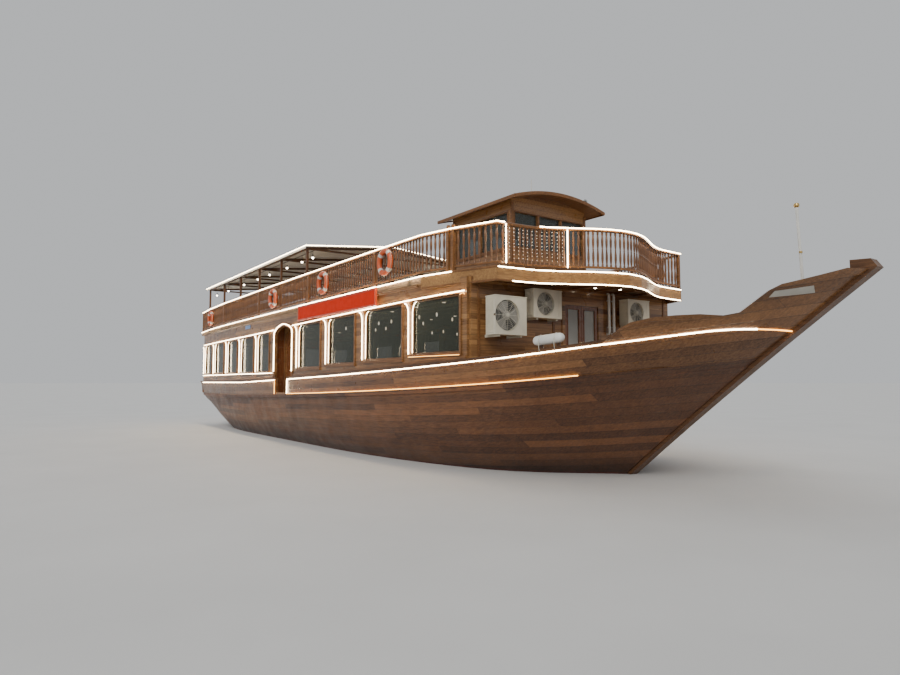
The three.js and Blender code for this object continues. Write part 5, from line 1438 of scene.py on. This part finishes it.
def evaluated_mesh(source):
    view = bpy.context.evaluated_depsgraph_get()
    view.update()
    return bpy.data.meshes.new_from_object(source.evaluated_get(view))


def blown_pad(name, size, spacing, limit):
    """Mesh of a crowned pad. Points move by at most the limit, and stay flat on the underside."""
    block = pad_block(name + "_block", size, spacing)
    plain = evaluated_mesh(block)
    block.modifiers.clear()
    block.data = plain
    ends = start = [vertex.co.copy() for vertex in plain.vertices]
    cloth_step = block.modifiers.new("cloth", "CLOTH")
    settings = cloth_step.settings
    settings.quality = 5
    settings.use_pressure = True
    settings.uniform_pressure_force = 4.0
    settings.effector_weights.gravity = 0.0
    cloth_step.point_cache.frame_start = 1
    cloth_step.point_cache.frame_end = 20
    for count in range(1, 21):
        bpy.context.scene.frame_set(count)
    ends = [vertex.co.copy() for vertex in evaluated_mesh(block).vertices]
    bpy.context.scene.frame_set(1)
    block.modifiers.clear()
    result = plain.copy()
    for vertex, old, new in zip(result.vertices, start, ends):
        shift = new - old
        if shift.length > limit:
            shift = shift * (limit / shift.length)
        place = old + shift
        place.z = max(place.z, 0.0) if old.z < size[2] * 0.3 else place.z
        vertex.co = place
    bpy.data.objects.remove(block)
    return result


def sew_channels(mesh, size, pitch, depth):
    """Presses a rounded channel across the pad at every pitch."""
    for vertex in mesh.vertices:
        height = vertex.co.z / size[2]
        run = (vertex.co.x + size[0] / 2) / pitch
        if height >= 0.45 and 0 < round(run) < size[0] / pitch - 0.5:
            near = abs(run - round(run)) * pitch
            vertex.co.z -= depth * math.exp(-(near / 0.020) ** 2) * min((height - 0.45) * 3, 1.0)


def cushion(name, source, turn, place):
    mesh = source.copy()
    mesh.materials.clear()
    mesh.materials.append(cushion_cloth)
    mesh.polygons.foreach_set("use_smooth", [True] * len(mesh.polygons))
    for vertex in mesh.vertices:
        vertex.co = turn(vertex.co) + Vector(place)
    pad = add_object(name, mesh)
    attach(pad, "boat")


SEAT_SIZE, REST_SIZE = (1.325, 0.33, 0.082), (1.325, 0.42, 0.058)
PAD_PITCH, CHANNEL_PITCH = 1.35, 0.265
seat_mesh = blown_pad("seat", SEAT_SIZE, 0.020, 0.018)
rest_mesh = blown_pad("rest", REST_SIZE, 0.020, 0.016)
sew_channels(seat_mesh, SEAT_SIZE, CHANNEL_PITCH, 0.012)
sew_channels(rest_mesh, REST_SIZE, CHANNEL_PITCH, 0.010)
for place in range(6):
    x = BENCH["aft"] + PAD_PITCH * (place + 0.5)
    foot, slope = bench_foot(x), (bench_foot(x + 0.6) - bench_foot(x - 0.6)) / 1.2
    for side, port in (("starboard", 1), ("port", -1)):
        flip = lambda point: Vector((point.x, point.y * port, point.z + slope * point.x))
        cushion("seat_pad_{}_{}".format(side, place + 1), seat_mesh, flip, (x, -3.065 * port, foot + 0.317))
        stand = lambda point: Vector((point.x, (point.z - 3.3165) * port, point.y + slope * point.x))
        cushion("rest_pad_{}_{}".format(side, place + 1), rest_mesh, stand, (x, 0.0, foot + 0.653))

# Rudder irons and the propeller's nut.
irons, nut = shape_sets(2)
for low, high, reach in ((-0.825, -0.735, -13.78), (-1.595, -1.505, -13.86), (-1.92, -1.80, -14.0)):
    for y in (-0.0515, 0.0455):
        irons.box((reach, y, low), (-13.20, y + 0.006, high))
irons.piece("rudder_straps", iron, "rudder")
nut.lathe([(0.112, -12.568), (0.090, -12.62), (0.050, -12.66), (0.012, -12.672)], (0, 0, -1.29), "x", 24)
nut.lathe([(0.118, -12.40), (0.122, -12.37), (0.118, -12.34)], (0, 0, -1.29), "x", 32)
nut.piece("propeller_cone", bronze, "propeller")


# Floor, light and sky.
def stage_floor():
    reach = 1500.0
    corners = [(-reach, -reach, 0), (reach, -reach, 0), (reach, reach, 0), (-reach, reach, 0)]
    mesh = bpy.data.meshes.new("floor")
    mesh.from_pydata(corners, [], [(0, 1, 2, 3)])
    g = Graph("floor_paint")
    tone = g.ramp(g.noise(0.35, 3.0), [(0.3, (0.60, 0.60, 0.59)), (0.7, (0.64, 0.64, 0.63))])
    mesh.materials.append(g.done(tone, 0.75))
    add_object("floor", mesh)


def add_sun(name, toward, strength, softness, colour):
    data = bpy.data.lights.new(name, "SUN")
    data.energy = strength
    data.angle = math.radians(softness)
    data.color = colour
    look_along(add_object(name, data), toward)


stage_floor()
add_sun("main_light", (-0.55, 0.62, -0.62), 1.5, 35.0, (1.0, 0.97, 0.93))
add_sun("fill_light", (0.75, -0.35, -0.55), 0.45, 60.0, (0.93, 0.96, 1.0))
world = bpy.data.worlds.new("studio")
world.use_nodes = True
background = world.node_tree.nodes["Background"]
background.inputs["Color"].default_value = (0.80, 0.82, 0.84, 1.0)
background.inputs["Strength"].default_value = 0.72
bpy.context.scene.world = world
